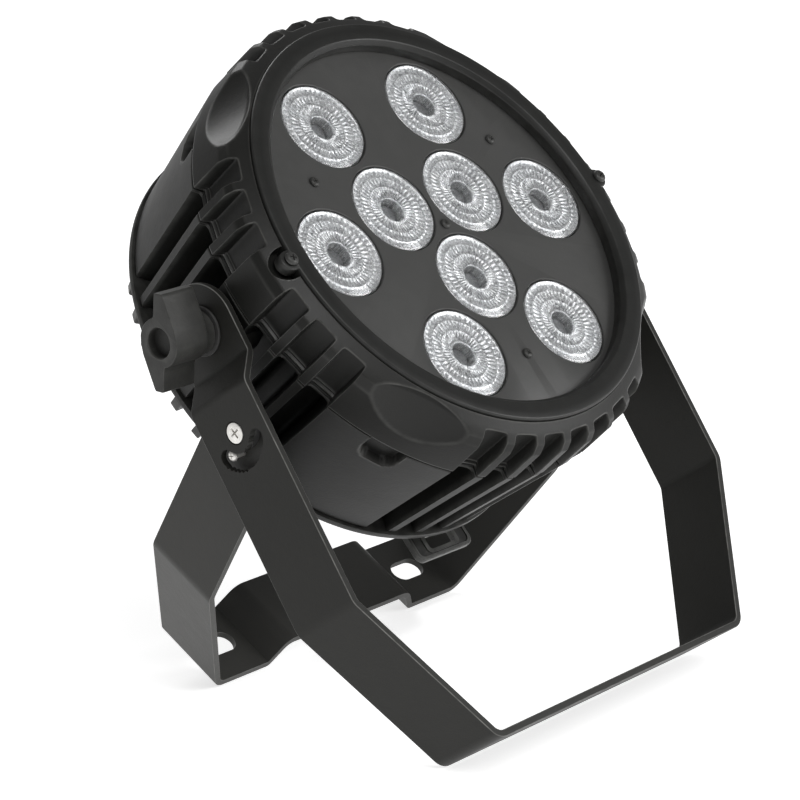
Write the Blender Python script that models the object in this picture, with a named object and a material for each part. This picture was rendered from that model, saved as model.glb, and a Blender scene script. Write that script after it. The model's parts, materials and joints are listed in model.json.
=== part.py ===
"""Floor-standing LED par can: a finned round head with nine lenses, hung in a U-shaped
yoke by two wing knobs, with a second U-shaped stand that unfolds behind the yoke.

Frame: metres, +Z up, floor at Z = 0, beam towards -Y, tilt axis along X.
Head parts are drawn in the head's own frame: X along the tilt axis, Z along the beam.
"""
import math

import bmesh
import bpy
from mathutils import Matrix, Vector

MM = 0.001

# ---------------------------------------------------------------- driving dimensions (mm, deg)
GAP = 0.3                    # air between neighbouring solids

BEAM_UP = 42.71              # beam direction above the horizon
YOKE_LEAN = 35.45            # yoke arms lean, top to the rear
STAND_LEAN = 29.48           # stand arms lean, top to the front
FOLD_DROP = 44.77            # tilt axis to fold axis, along the yoke arm

STRIP_T = 3.0                # bracket strip thickness
STRIP_HW = 18.75             # bracket strip half width
YOKE_TAB_X = 117.5           # outer face of the yoke's tabs
YOKE_ARM_X = 126.7           # outer face of the yoke's arms
YOKE_BEND_S = 128.9
YOKE_BASE_X = 85.8
YOKE_BASE_S = 202.0
STAND_ARM_X = 119.0
STAND_END = 10.25            # fold axis to the end of the stand's tab
STAND_BEND_S = 81.5
STAND_BASE_X = 82.0
STAND_RISE = 11.0            # raised middle of the stand's base
STAND_RISE_X0 = 48.0
STAND_RISE_X1 = 40.0
STAND_SLOT_X = 65.0          # clamp slots in the stand's base
STAND_SLOT_R = 5.5
STAND_SLOT_C = 4.0

LENS_R = 21.0
LENS_RING_OUTER = 67.0
LENS_RING_INNER = 26.5
FACE_Z = 41.96
RIM_GROOVE_R = 106.0
FIN_PITCH = 8.6
GROOVE_W = 11.6
SEAM_Z = 19.0
REAR_Z = -44.5
REAR_R = 103.0
SEAM_R = 112.3
CORE_R = 89.0
CUP_R = 84.0
POCKET_HW = 8.5              # thumb pockets: half width, lower end, corner radius, floor radius
POCKET_Z = 5.6
POCKET_R = 6.0
POCKET_FLOOR_R = 106.8
FOOT_TOP, FOOT_Z = -47.4, -57.0  # feet on the rear cover, in line with the side fins
FOOT_R = 99.5
FOOT_HW = 2.3
BACK_Z = -56.0
BOSS_X = 114.2
SLOT_R0, SLOT_R1 = 8.6, 15.8     # radii of the arc slot's two edges
STOP_R = 11.0
STOP_A = 51.0                    # stop screw, degrees behind the arm at rest
KNOB_X0, KNOB_X1 = 125.0, 143.0

PIVOT_Y = 13.37              # puts the origin under the middle of the whole

# ---------------------------------------------------------------- scene
for o in list(bpy.data.objects):
    bpy.data.objects.remove(o, do_unlink=True)

scene = bpy.context.scene
PARTS = bpy.data.collections.new("par_can_light")
CUTTERS = bpy.data.collections.new("cutters")
scene.collection.children.link(PARTS)
scene.collection.children.link(CUTTERS)

rad = math.radians


def polar(r, deg):
    return r * math.cos(rad(deg)), r * math.sin(rad(deg))


# ---------------------------------------------------------------- materials
def material(name, rgb, rough, metal=0.0, alpha=1.0, transmission=0.0):
    m = bpy.data.materials.new(name)
    m.use_nodes = True
    b = m.node_tree.nodes["Principled BSDF"]
    b.inputs["Base Color"].default_value = (*rgb, 1.0)
    b.inputs["Roughness"].default_value = rough
    b.inputs["Metallic"].default_value = metal
    b.inputs["Alpha"].default_value = alpha
    b.inputs["Transmission Weight"].default_value = transmission
    m.diffuse_color = (*rgb, alpha)
    return m


BLACK = (0.022, 0.022, 0.020)
MATS = {}


def mat_for(name, rgb, rough, metal=0.0, alpha=1.0, transmission=0.0):
    m = material("mat_" + name, rgb, rough, metal, alpha, transmission)
    MATS[name] = m
    return m


# ---------------------------------------------------------------- object helpers
def empty(name, loc, rot_x):
    e = bpy.data.objects.new(name, None)
    e.empty_display_size = 0.02
    e.location = loc
    e.rotation_euler = (rot_x, 0.0, 0.0)
    PARTS.objects.link(e)
    return e


def add(name, mesh, parent, cutter=False, mat=None):
    o = bpy.data.objects.new(name, mesh)
    (CUTTERS if cutter else PARTS).objects.link(o)
    if parent is not None:
        o.parent = parent
    if cutter:
        o.hide_render = True
        o.display_type = "WIRE"
    elif mat is not None:
        mesh.materials.clear()
        mesh.materials.append(mat)
    return o


def mesh_from(bm, name):
    me = bpy.data.meshes.new(name)
    bmesh.ops.recalc_face_normals(bm, faces=bm.faces)
    bm.to_mesh(me)
    bm.free()
    return me


def turned_bm(profile, segs=96, phase=0.0):
    """Closed profile of (r, z) in mm turned about Z. Points with r = 0 close on the axis."""
    bm = bmesh.new()
    vs = [bm.verts.new((r * MM * math.cos(phase), r * MM * math.sin(phase), z * MM)) for r, z in profile]
    es = [bm.edges.new((vs[i], vs[(i + 1) % len(vs)])) for i in range(len(vs))
          if not (profile[i][0] == 0 and profile[(i + 1) % len(vs)][0] == 0)]
    bmesh.ops.spin(bm, geom=vs + es, cent=(0, 0, 0), axis=(0, 0, 1), angle=2 * math.pi,
                   steps=segs, use_merge=True, use_duplicate=False)
    bmesh.ops.remove_doubles(bm, verts=bm.verts, dist=1e-6)
    return bm


def turned(name, profile, parent, mat, segs=96, at=(0, 0, 0), cutter=False, phase=0.0):
    bm = turned_bm(profile, segs, phase)
    me = mesh_from(bm, name)
    o = add(name, me, parent, cutter, mat)
    o.location = Vector(at) * MM
    return o


def smooth(o, angle=35.0):
    me = o.data
    me.shade_smooth()
    me.set_sharp_from_angle(angle=rad(angle))
    return o


def cyl_bm(bm, r, z0, z1, segs=32, at=(0, 0), r1=None):
    m = Matrix.Translation((at[0] * MM, at[1] * MM, 0.5 * (z0 + z1) * MM))
    bmesh.ops.create_cone(bm, cap_ends=True, cap_tris=False, segments=segs, radius1=r * MM,
                          radius2=(r if r1 is None else r1) * MM, depth=(z1 - z0) * MM, matrix=m)
    return bm


def box_bm(bm, lo, hi, rot=None):
    c = Vector([(a + b) / 2 for a, b in zip(lo, hi)]) * MM
    s = [(b - a) * MM for a, b in zip(lo, hi)]
    m = Matrix.Translation(c) @ Matrix.Diagonal((*s, 1.0))
    if rot is not None:
        m = rot @ m
    bmesh.ops.create_cube(bm, size=1.0, matrix=m)
    return bm


def prism_bm(bm, outline, z0, z1):
    """Flat outline of (x, y) in mm, extruded from z0 to z1."""
    n = len(outline)
    lo = [bm.verts.new((x * MM, y * MM, z0 * MM)) for x, y in outline]
    f = bm.faces.new(lo)
    out = bmesh.ops.extrude_face_region(bm, geom=[f])
    up = [g for g in out["geom"] if isinstance(g, bmesh.types.BMVert)]
    bmesh.ops.translate(bm, verts=up, vec=(0, 0, (z1 - z0) * MM))
    return bm


def wedge(r0, r1, a0, a1, steps=2):
    """Outline of a ring sector between two radii and two angles."""
    inner = [polar(r0, a0 + (a1 - a0) * i / steps) for i in range(steps + 1)]
    outer = [polar(r1, a1 - (a1 - a0) * i / steps) for i in range(steps + 1)]
    return inner + outer


def boolean(o, cutter, op="DIFFERENCE"):
    m = o.modifiers.new(op.lower() + "_" + cutter.name, "BOOLEAN")
    m.operation = op
    m.solver = "EXACT"
    m.object = cutter
    return m


def bake(o, doubles=1e-6):
    """Replaces the object's mesh by its evaluated one, so that copies can share it."""
    bpy.context.view_layer.update()
    dg = bpy.context.evaluated_depsgraph_get()
    me = bpy.data.meshes.new_from_object(o.evaluated_get(dg))
    bm = bmesh.new()
    bm.from_mesh(me)
    bmesh.ops.remove_doubles(bm, verts=bm.verts, dist=doubles)
    bm.to_mesh(me)
    bm.free()
    o.modifiers.clear()
    o.data = me
    return o


def arc(cx, cy, r, a0, a1, n):
    return [(cx + r * math.cos(rad(a0 + (a1 - a0) * i / n)), cy + r * math.sin(rad(a0 + (a1 - a0) * i / n)))
            for i in range(n + 1)]


# ---------------------------------------------------------------- bent strip
def bent_path(points, radii, n=5):
    """Rounds a polyline's corners; returns points with their left-hand normals."""
    out = []
    for i, p in enumerate(points):
        p = Vector(p)
        if i in (0, len(points) - 1):
            q = Vector(points[1]) - p if i == 0 else p - Vector(points[-2])
            q.normalize()
            out.append((p, Vector((-q.y, q.x))))
            continue
        a = (p - Vector(points[i - 1])).normalized()
        b = (Vector(points[i + 1]) - p).normalized()
        turn = math.atan2(a.x * b.y - a.y * b.x, a.dot(b))
        r = radii[i]
        t = r * math.tan(abs(turn) / 2)
        side = 1.0 if turn > 0 else -1.0
        start = p - a * t
        na = Vector((-a.y, a.x))
        centre = start + na * r * side
        for k in range(n + 1):
            ang = turn * k / n
            d = Matrix.Rotation(ang, 2) @ a
            nn = Vector((-d.y, d.x))
            out.append((centre - nn * r * side, nn))
    return out


def strip_outline(points, radii, t, n=5):
    path = bent_path(points, radii, n)
    face = [(p.x, p.y) for p, _ in path]
    back = [((p + nn * t).x, (p + nn * t).y) for p, nn in path]
    return face + back[::-1]


def bent_strip(name, points, radii, parent, mat):
    """Strip whose side view is in the local XZ plane and whose width runs along local Y."""
    outline = strip_outline(points, radii, STRIP_T)
    bm = bmesh.new()
    prism_bm(bm, outline, -STRIP_HW, STRIP_HW)
    # outline (x, y) -> (x, z), extrusion -> y
    bmesh.ops.rotate(bm, verts=bm.verts, cent=(0, 0, 0), matrix=Matrix.Rotation(rad(90), 3, "X"))
    return add(name, mesh_from(bm, name), parent, False, mat)


def along_x(bm):
    """Turns a solid drawn along Z so that its Z runs along X and its XY plane is YZ."""
    m = Matrix(((0, 0, 1), (1, 0, 0), (0, 1, 0)))
    bmesh.ops.transform(bm, matrix=m.to_4x4(), verts=bm.verts)
    return bm


# ---------------------------------------------------------------- frames
A, B = rad(YOKE_LEAN), rad(STAND_LEAN)
PIVOT_Z = YOKE_BASE_S * math.cos(A) + STRIP_HW * math.sin(A)
P1 = Vector((0.0, PIVOT_Y, PIVOT_Z))
P2 = P1 + FOLD_DROP * Vector((0.0, -math.sin(A), -math.cos(A)))
STAND_BASE_S = (P2.z - STRIP_HW * math.sin(B)) / math.cos(B)

HEAD = empty("head_frame", P1 * MM, rad(90.0 - BEAM_UP))
YOKE = empty("yoke_frame", P1 * MM, -A)
STAND = empty("stand_frame", P2 * MM, B)
KNOBS = empty("knob_frame", P1 * MM, 0.0)
FOLD = empty("fold_frame", P2 * MM, -A)       # fold axis, in the yoke's own directions

# ---------------------------------------------------------------- front housing
m_front = mat_for("front_housing", (0.030, 0.030, 0.028), 0.42)
front = turned("front_housing", [
    (101.2, 46.8), (106.2, 44.4), (109.6, 42.4), (111.8, 38.0), (SEAM_R, SEAM_Z + 1.2),
    (98.0, SEAM_Z + 1.2), (98.0, 34.5), (92.0, 37.0), (92.0, 38.6), (96.4, 38.6), (96.4, 42.0), (101.2, 42.0)],
    HEAD, m_front, segs=64, phase=rad(2.8125))


def group_angles(centre, has_pad):
    return [centre + k * FIN_PITCH for k in range(-3, 4) if not (has_pad and k == 0)]


GROOVES = [a for c, pad in ((0, True), (90, False), (180, True), (270, False)) for a in group_angles(c, pad)]

bm = bmesh.new()
for a in GROOVES:
    box_bm(bm, (RIM_GROOVE_R, -GROOVE_W / 2, 10.0), (126.0, GROOVE_W / 2, 60.0), Matrix.Rotation(rad(a), 4, "Z"))
groove_cut = add("cut_grooves", mesh_from(bm, "cut_grooves"), HEAD, True)
boolean(front, groove_cut)

SCOOP_R, SCOOP_Z, SCOOP_BALL = 165.7, 73.6, 70.1
bm = bmesh.new()
for a in (45, 135, 225, 315):
    x, y = polar(SCOOP_R, a)
    bmesh.ops.create_uvsphere(bm, u_segments=28, v_segments=20, radius=SCOOP_BALL * MM,
                              matrix=Matrix.Translation((x * MM, y * MM, SCOOP_Z * MM)) @ Matrix.Rotation(rad(a), 4, "Z"))
scoop_cut = add("cut_scoops", mesh_from(bm, "cut_scoops"), HEAD, True)
boolean(front, scoop_cut)

LUG_R = 102.4
bm = bmesh.new()
for s in (-1, 1):
    cyl_bm(bm, 7.5, 41.5, 60.0, 22, (s * LUG_R, 0))
pocket_cut = add("cut_pockets", mesh_from(bm, "cut_pockets"), HEAD, True)
boolean(front, pocket_cut)
bm = bmesh.new()
for s in (-1, 1):
    cyl_bm(bm, 1.9, 34.0, 60.0, 12, (s * LUG_R, 0))
lug_hole_cut = add("cut_lug_holes", mesh_from(bm, "cut_lug_holes"), HEAD, True)
boolean(front, lug_hole_cut)
smooth(front)

# ---------------------------------------------------------------- retaining ring
m_ring = mat_for("front_ring", (0.020, 0.020, 0.020), 0.38)
ring = turned("front_ring", [(100.8, 47.9), (100.8, 42.3), (90.5, 42.3), (90.5, 46.4), (92.6, 48.5), (100.2, 48.5)],
              HEAD, m_ring, segs=60)
bm = bmesh.new()
for s in (-1, 1):
    cyl_bm(bm, 4.6, 42.9, 47.8, 20, (s * LUG_R, 0))
lugs = add("join_lugs", mesh_from(bm, "join_lugs"), HEAD, True)
boolean(ring, lugs, "UNION")
bm = bmesh.new()
for s in (-1, 1):
    cyl_bm(bm, 1.9, 30.0, 60.0, 12, (s * LUG_R, 0))
ring_hole_cut = add("cut_ring_holes", mesh_from(bm, "cut_ring_holes"), HEAD, True)
boolean(ring, ring_hole_cut)
smooth(ring)

# ---------------------------------------------------------------- face panel with lens holes
LENSES = [polar(LENS_RING_OUTER, 60 * k) for k in range(6)] + [polar(LENS_RING_INNER, 30 + 120 * k) for k in range(3)]
FACE_SCREWS = [(0.0, 0.0)] + [polar(LENS_RING_OUTER, 30 + 120 * k) for k in range(3)]
m_panel = mat_for("lens_panel", (0.035, 0.036, 0.042), 0.32)
panel = turned("lens_panel", [(0, FACE_Z), (96.0, FACE_Z), (96.0, 38.95), (0, 38.95)], HEAD, m_panel, segs=48)
bm = bmesh.new()
for x, y in LENSES:
    cyl_bm(bm, LENS_R + 0.4, 30.0, 50.0, 18, (x, y))
for x, y in FACE_SCREWS:
    cyl_bm(bm, 1.6, 30.0, 50.0, 10, (x, y))
panel_cut = add("cut_lens_holes", mesh_from(bm, "cut_lens_holes"), HEAD, True)
boolean(panel, panel_cut)
smooth(panel)

# ---------------------------------------------------------------- lenses
lens_me = mesh_from(turned_bm([(0, FACE_Z), (20.4, FACE_Z), (LENS_R, 41.3), (LENS_R, 39.6), (19.4, 38.4),
                               (13.0, 28.0), (6.4, 21.0), (4.9, 21.0), (4.2, 31.0), (0, 32.4)], 18), "lens")
lens_me.materials.append(mat_for("lens", (0.93, 0.95, 0.97), 0.05, 0.0, 0.5, 1.0))
for k, (x, y) in enumerate(LENSES):
    o = add("lens_%d" % (k + 1), lens_me, HEAD)
    o.location = (x * MM, y * MM, 0)
smooth(bpy.data.objects["lens_1"], 30)

# ---------------------------------------------------------------- LED board with its soldered emitters
m_board = mat_for("led_board", (0.75, 0.76, 0.74), 0.5)
board = turned("led_board", [(0, 20.6), (88.0, 20.6), (88.0, 19.0), (0, 19.0)], HEAD, m_board, segs=40)
bm = bmesh.new()
for x, y in LENSES:
    box_bm(bm, (x - 2.6, y - 2.6, 20.0), (x + 2.6, y + 2.6, 21.6))
leds = add("join_leds", mesh_from(bm, "join_leds"), HEAD, True)
boolean(board, leds, "UNION")
bm = bmesh.new()
for x, y in FACE_SCREWS:
    cyl_bm(bm, 1.6, 10.0, 30.0, 10, (x, y))
board_cut = add("cut_board_holes", mesh_from(bm, "cut_board_holes"), HEAD, True)
boolean(board, board_cut)
smooth(board)

# ---------------------------------------------------------------- seam gasket
m_gasket = mat_for("seam_gasket", (0.015, 0.015, 0.015), 0.7)
gasket = turned("seam_gasket", [(107.4, SEAM_Z + 0.9), (107.4, SEAM_Z - 0.1), (100.0, SEAM_Z - 0.1), (100.0, SEAM_Z + 0.9)],
                HEAD, m_gasket, segs=48)
smooth(gasket)

# ---------------------------------------------------------------- rear housing: cup, heat spreader and fins
m_rear = mat_for("rear_housing", (0.026, 0.026, 0.025), 0.45)
TOP_Z = SEAM_Z - 0.4
rear = turned("rear_housing", [
    (0, TOP_Z), (SEAM_R - 0.2, TOP_Z), (REAR_R, REAR_Z), (CUP_R, REAR_Z), (CUP_R, 13.0), (0, 13.0)],
    HEAD, m_rear, segs=60, phase=rad(3))
bm = bmesh.new()
for a in GROOVES:
    prism_bm(bm, wedge(CORE_R, 126.0, a - 3.15, a + 3.15), REAR_Z - 12, TOP_Z + 12)
fin_cut = add("cut_fin_gaps", mesh_from(bm, "cut_fin_gaps"), HEAD, True)
boolean(rear, fin_cut)
# hollows inside the four smooth shoulders, either side of a web that takes the cover's screw
bm = bmesh.new()
for a in (45, 135, 225, 315):
    for a0, a1 in ((a - 15, a - 5), (a + 5, a + 15)):
        prism_bm(bm, wedge(80.0, 98.0, a0, a1, 3), REAR_Z - 10, 9.0)
shoulder_cut = add("cut_shoulders", mesh_from(bm, "cut_shoulders"), HEAD, True)
boolean(rear, shoulder_cut)
# thumb pocket under the seam in the middle of each shoulder, with a rounded lower end
bm = bmesh.new()
outline = ([(-POCKET_HW, TOP_Z + 8.0), (-POCKET_HW, POCKET_Z + POCKET_R)]
           + arc(-POCKET_HW + POCKET_R, POCKET_Z + POCKET_R, POCKET_R, 180, 270, 5)[1:]
           + arc(POCKET_HW - POCKET_R, POCKET_Z + POCKET_R, POCKET_R, 270, 360, 5)
           + [(POCKET_HW, TOP_Z + 8.0)])
for a in (45, 135, 225, 315):
    tool = bmesh.new()
    prism_bm(tool, outline, POCKET_FLOOR_R, 130.0)
    out_dir = Vector((*polar(1.0, a), 0.0))
    turn = Matrix((Vector((*polar(1.0, a + 90), 0.0)), Vector((0, 0, 1)), out_dir)).transposed()
    bmesh.ops.transform(tool, verts=tool.verts, matrix=turn.to_4x4())
    me = bpy.data.meshes.new("thumb_pocket_tool")
    tool.to_mesh(me)
    tool.free()
    bm.from_mesh(me)
    bpy.data.meshes.remove(me)
thumb_cut = add("cut_thumb_pockets", mesh_from(bm, "cut_thumb_pockets"), HEAD, True)
boolean(rear, thumb_cut)
# pivot bosses
bm = bmesh.new()
for s in (-1, 1):
    cyl_bm(bm, 13.0, min(s * 96, s * BOSS_X), max(s * 96, s * BOSS_X), 28)
along_x(bm)
boss = add("join_bosses", mesh_from(bm, "join_bosses"), HEAD, True)
boolean(rear, boss, "UNION")
bm = bmesh.new()
for s in (-1, 1):
    cyl_bm(bm, 4.3, min(s * 100, s * 130), max(s * 100, s * 130), 20)
along_x(bm)
boss_cut = add("cut_bosses", mesh_from(bm, "cut_bosses"), HEAD, True)
boolean(rear, boss_cut)
COVER_SCREWS = [polar(98.5, a) for a in (45, 135, 225, 315)]
bm = bmesh.new()
for x, y in COVER_SCREWS:
    cyl_bm(bm, 2.0, REAR_Z - 10, REAR_Z + 10, 10, (x, y))
for x, y in FACE_SCREWS:
    cyl_bm(bm, 1.6, 15.0, 30.0, 10, (x, y))
screw_cut = add("cut_rear_screws", mesh_from(bm, "cut_rear_screws"), HEAD, True)
boolean(rear, screw_cut)
smooth(rear)

# ---------------------------------------------------------------- rear cover
m_cover = mat_for("rear_cover", (0.024, 0.024, 0.023), 0.45)
COVER_TOP = REAR_Z - GAP
cover = turned("rear_cover", [
    (104.4, COVER_TOP), (104.4, -47.4), (103.6, -48.2), (93.5, -48.6), (90.0, BACK_Z), (0, BACK_Z), (0, -53.2),
    (80.0, -53.2), (80.0, COVER_TOP)], HEAD, m_cover, segs=48)

# short feet behind the ends of the fins at the two sides
bm = bmesh.new()
side = [(89.0, FOOT_TOP), (101.5, FOOT_TOP), (101.5, -50.6), (FOOT_R, FOOT_Z), (92.5, FOOT_Z), (89.0, -54.5)]
for c in (0, 180):
    for k in range(-4, 4):
        a = c + (k + 0.5) * FIN_PITCH
        tool = bmesh.new()
        prism_bm(tool, side, -FOOT_HW, FOOT_HW)
        turn = Matrix((Vector((*polar(1.0, a), 0.0)), Vector((0, 0, 1)), Vector((*polar(1.0, a + 90), 0.0)))).transposed()
        bmesh.ops.transform(tool, verts=tool.verts, matrix=turn.to_4x4())
        me = bpy.data.meshes.new("foot_tool")
        tool.to_mesh(me)
        tool.free()
        bm.from_mesh(me)
        bpy.data.meshes.remove(me)
feet = add("join_cover_feet", mesh_from(bm, "join_cover_feet"), HEAD, True)
boolean(cover, feet, "UNION")

BUTTONS = [(-21.0, 10.0), (-7.0, 10.0), (7.0, 10.0), (21.0, 10.0)]
SOCKETS = {"power_inlet": (-50.0, -16.0), "power_outlet": (50.0, -16.0), "data_inlet": (-20.0, -38.0), "data_outlet": (20.0, -38.0)}
bm = bmesh.new()
box_bm(bm, (-19.3, 25.7, -70.0), (19.3, 44.3, -40.0))
for x, y in BUTTONS:
    cyl_bm(bm, 3.9, -70.0, -40.0, 14, (x, y))
for x, y in SOCKETS.values():
    cyl_bm(bm, 10.9, -70.0, -40.0, 16, (x, y))
for x, y in COVER_SCREWS:
    cyl_bm(bm, 2.0, -70.0, -40.0, 10, (x, y))
for s in (-1, 1):
    cyl_bm(bm, 1.6, -70.0, -40.0, 10, (s * 11.0, -82.0))
cover_cut = add("cut_cover", mesh_from(bm, "cut_cover"), HEAD, True)
boolean(cover, cover_cut)
smooth(cover)

# ---------------------------------------------------------------- display, buttons, sockets
m_disp = mat_for("display_window", (0.03, 0.05, 0.06), 0.08)
bm = bmesh.new()
box_bm(bm, (-19.0, 26.0, -56.5), (19.0, 44.0, -50.0))
display = add("display_window", mesh_from(bm, "display_window"), HEAD, False, m_disp)

button_me = mesh_from(turned_bm([(0, -57.6), (3.2, -57.6), (3.6, -57.1), (3.6, -52.9), (5.2, -52.9), (5.2, -51.5), (2.4, -51.5), (2.4, -47.6), (0, -47.6)], 14), "menu_button")
button_me.materials.append(mat_for("menu_button", (0.30, 0.30, 0.30), 0.6))
for k, (x, y) in enumerate(BUTTONS):
    o = add("menu_button_%d" % (k + 1), button_me, HEAD)
    o.location = (x * MM, y * MM, 0)
smooth(bpy.data.objects["menu_button_1"])

m_power = mat_for("power_socket", (0.02, 0.07, 0.32), 0.4)
m_data = mat_for("data_socket", (0.03, 0.03, 0.03), 0.4)
socket_me = mesh_from(turned_bm([(0, -55.4), (7.2, -55.4), (7.2, -58.6), (12.4, -58.6), (13.2, -57.8), (13.2, -56.3), (10.5, -56.3), (10.5, -39.0), (0, -39.0)], 16), "power_socket")
socket_me.materials.append(m_power)
socket2_me = mesh_from(turned_bm([(0, -55.4), (8.4, -55.4), (8.4, -58.2), (11.6, -58.2), (12.2, -57.6), (12.2, -56.3), (10.5, -56.3), (10.5, -41.0), (0, -41.0)], 16), "data_socket")
socket2_me.materials.append(m_data)
for nm, (x, y) in SOCKETS.items():
    o = add(nm, socket_me if nm.startswith("power") else socket2_me, HEAD)
    o.location = (x * MM, y * MM, 0)
smooth(bpy.data.objects["power_inlet"])
smooth(bpy.data.objects["data_inlet"])

# ---------------------------------------------------------------- electronics inside
m_psu = mat_for("power_supply", (0.45, 0.46, 0.47), 0.4, 0.8)
bm = bmesh.new()
box_bm(bm, (-50.0, -58.0, -14.0), (50.0, -6.0, 12.7))
bmesh.ops.bevel(bm, geom=bm.edges[:], offset=2.0 * MM, segments=2, profile=0.5, affect="EDGES")
psu = add("power_supply", mesh_from(bm, "power_supply"), HEAD, False, m_psu)
m_ctrl = mat_for("control_board", (0.02, 0.16, 0.06), 0.5)
bm = bmesh.new()
box_bm(bm, (-42.0, 3.0, -46.8), (42.0, 50.0, -45.2))
control = add("control_board", mesh_from(bm, "control_board"), HEAD, False, m_ctrl)
bm = bmesh.new()
box_bm(bm, (-30.0, 30.0, -46.0), (-8.0, 40.0, -36.0))
box_bm(bm, (6.0, 12.0, -46.0), (20.0, 26.0, -42.5))
box_bm(bm, (26.0, 30.0, -46.0), (36.0, 44.0, -38.0))
chips = add("join_chips", mesh_from(bm, "join_chips"), HEAD, True)
boolean(control, chips, "UNION")

# ---------------------------------------------------------------- safety cable eye
m_eye = mat_for("safety_eye", (0.025, 0.025, 0.024), 0.45)
EYE_Z0, EYE_Z1 = -59.3, BACK_Z - GAP
r = 4.0
outline = (arc(18 - r, -110.5 + r, r, -90, 0, 4) + [(18.0, -76.0), (14.0, -72.0), (-14.0, -72.0), (-18.0, -76.0)]
           + arc(-18 + r, -110.5 + r, r, 180, 270, 4))
bm = bmesh.new()
prism_bm(bm, outline, EYE_Z0, EYE_Z1)
eye = add("safety_eye", mesh_from(bm, "safety_eye"), HEAD, False, m_eye)
bm = bmesh.new()
r = 1.6
win = (arc(8.5 - r, -106.5 + r, r, -90, 0, 3) + arc(8.5 - r, -100.0 - r, r, 0, 90, 3)
       + arc(-8.5 + r, -100.0 - r, r, 90, 180, 3) + arc(-8.5 + r, -106.5 + r, r, 180, 270, 3))
prism_bm(bm, win, -70.0, -50.0)
for s in (-1, 1):
    cyl_bm(bm, 1.6, -70.0, -50.0, 10, (s * 11.0, -82.0))
eye_cut = add("cut_eye", mesh_from(bm, "cut_eye"), HEAD, True)
boolean(eye, eye_cut)


# ---------------------------------------------------------------- screws
def screw_mesh(name, head_r, head_h, shank_r, length, mat, flush=False, cross=None):
    """Cross-head screw along Z, underside of the head at z = 0, tip at -length."""
    cr = head_r * 0.62 if cross is None else cross
    if flush:
        prof = [(0, 0), (head_r, 0), (head_r, -0.4), (shank_r, -head_h), (shank_r, -length), (0, -length)]
        top = 0.0
    else:
        prof = [(0, head_h), (head_r * 0.7, head_h), (head_r, head_h * 0.5), (head_r, 0), (shank_r, 0), (shank_r, -length), (0, -length)]
        top = head_h
    o = add(name, mesh_from(turned_bm(prof, 10), name), None)
    bm = bmesh.new()
    w, dep = cr * 0.17, min(head_h * 0.6, cr * 0.6)
    pts = [(w, w), (w, cr), (-w, cr), (-w, w), (-cr, w), (-cr, -w), (-w, -w), (-w, -cr), (w, -cr), (w, -w), (cr, -w), (cr, w)]
    prism_bm(bm, pts, top - dep, top + 2.0)
    c = add("cross_" + name, mesh_from(bm, "cross_" + name), None, True)
    boolean(o, c)
    bake(o)
    me = o.data
    me.name = name
    bpy.data.objects.remove(o, do_unlink=True)
    bpy.data.objects.remove(c, do_unlink=True)
    me.materials.clear()
    me.materials.append(mat)
    me.shade_smooth()
    me.set_sharp_from_angle(angle=rad(35))
    return me


m_steel = mat_for("steel_screw", (0.62, 0.62, 0.60), 0.28, 1.0)
m_dark = mat_for("black_screw", (0.05, 0.05, 0.05), 0.4, 0.6)
face_screw_me = screw_mesh("face_screw", 2.4, 1.2, 1.25, 26.0, m_dark)
for k, (x, y) in enumerate(FACE_SCREWS):
    o = add("face_screw_%d" % (k + 1), face_screw_me, HEAD)
    o.location = (x * MM, y * MM, (FACE_Z + GAP) * MM)
ring_screw_me = screw_mesh("ring_screw", 3.1, 1.7, 1.55, 12.0, m_dark)
for nm, s in (("ring_screw_left", -1), ("ring_screw_right", 1)):
    o = add(nm, ring_screw_me, HEAD)
    o.location = (s * LUG_R * MM, 0, 48.8 * MM)
cover_screw_me = screw_mesh("cover_screw", 3.4, 1.8, 1.65, 12.0, m_dark)
for k, (x, y) in enumerate(COVER_SCREWS):
    o = add("cover_screw_%d" % (k + 1), cover_screw_me, HEAD)
    o.location = (x * MM, y * MM, -48.95 * MM)
    o.rotation_euler = (math.pi, 0, 0)
eye_screw_me = screw_mesh("eye_screw", 2.9, 1.5, 1.3, 5.4, m_dark)
for nm, s in (("eye_screw_left", -1), ("eye_screw_right", 1)):
    o = add(nm, eye_screw_me, HEAD)
    o.location = (s * 11.0 * MM, -82.0 * MM, (EYE_Z0 - GAP) * MM)
    o.rotation_euler = (math.pi, 0, 0)

# ---------------------------------------------------------------- yoke
m_yoke = mat_for("front_yoke", (0.024, 0.024, 0.022), 0.5)
half = [(-YOKE_TAB_X, 24.0), (-YOKE_TAB_X, -17.3), (-YOKE_ARM_X, -28.2), (-YOKE_ARM_X, -YOKE_BEND_S), (-YOKE_BASE_X, -YOKE_BASE_S)]
pts = half + [(-x, z) for x, z in half[::-1]]
radii = [0, 3, 6, 9, 8, 8, 9, 6, 3, 0]
yoke = bent_strip("front_yoke", pts, radii, YOKE, m_yoke)


def keep_shape(name, parent, top, half_w):
    """Side view of a strip with a rounded top end; what lies outside it is cut off."""
    o = [(half_w + 4, 40.0), (half_w + 4, -20.0), (half_w, -20.0)]
    o += arc(0, top - half_w, half_w, 0, 180, 14)
    o += [(-half_w, -20.0), (-half_w - 4, -20.0), (-half_w - 4, 40.0)]
    bm = bmesh.new()
    prism_bm(bm, o, -150.0, 150.0)
    along_x(bm)
    return add(name, mesh_from(bm, name), parent, True)


boolean(yoke, keep_shape("cut_yoke_ends", YOKE, 19.75, STRIP_HW + 0.02))


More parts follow.
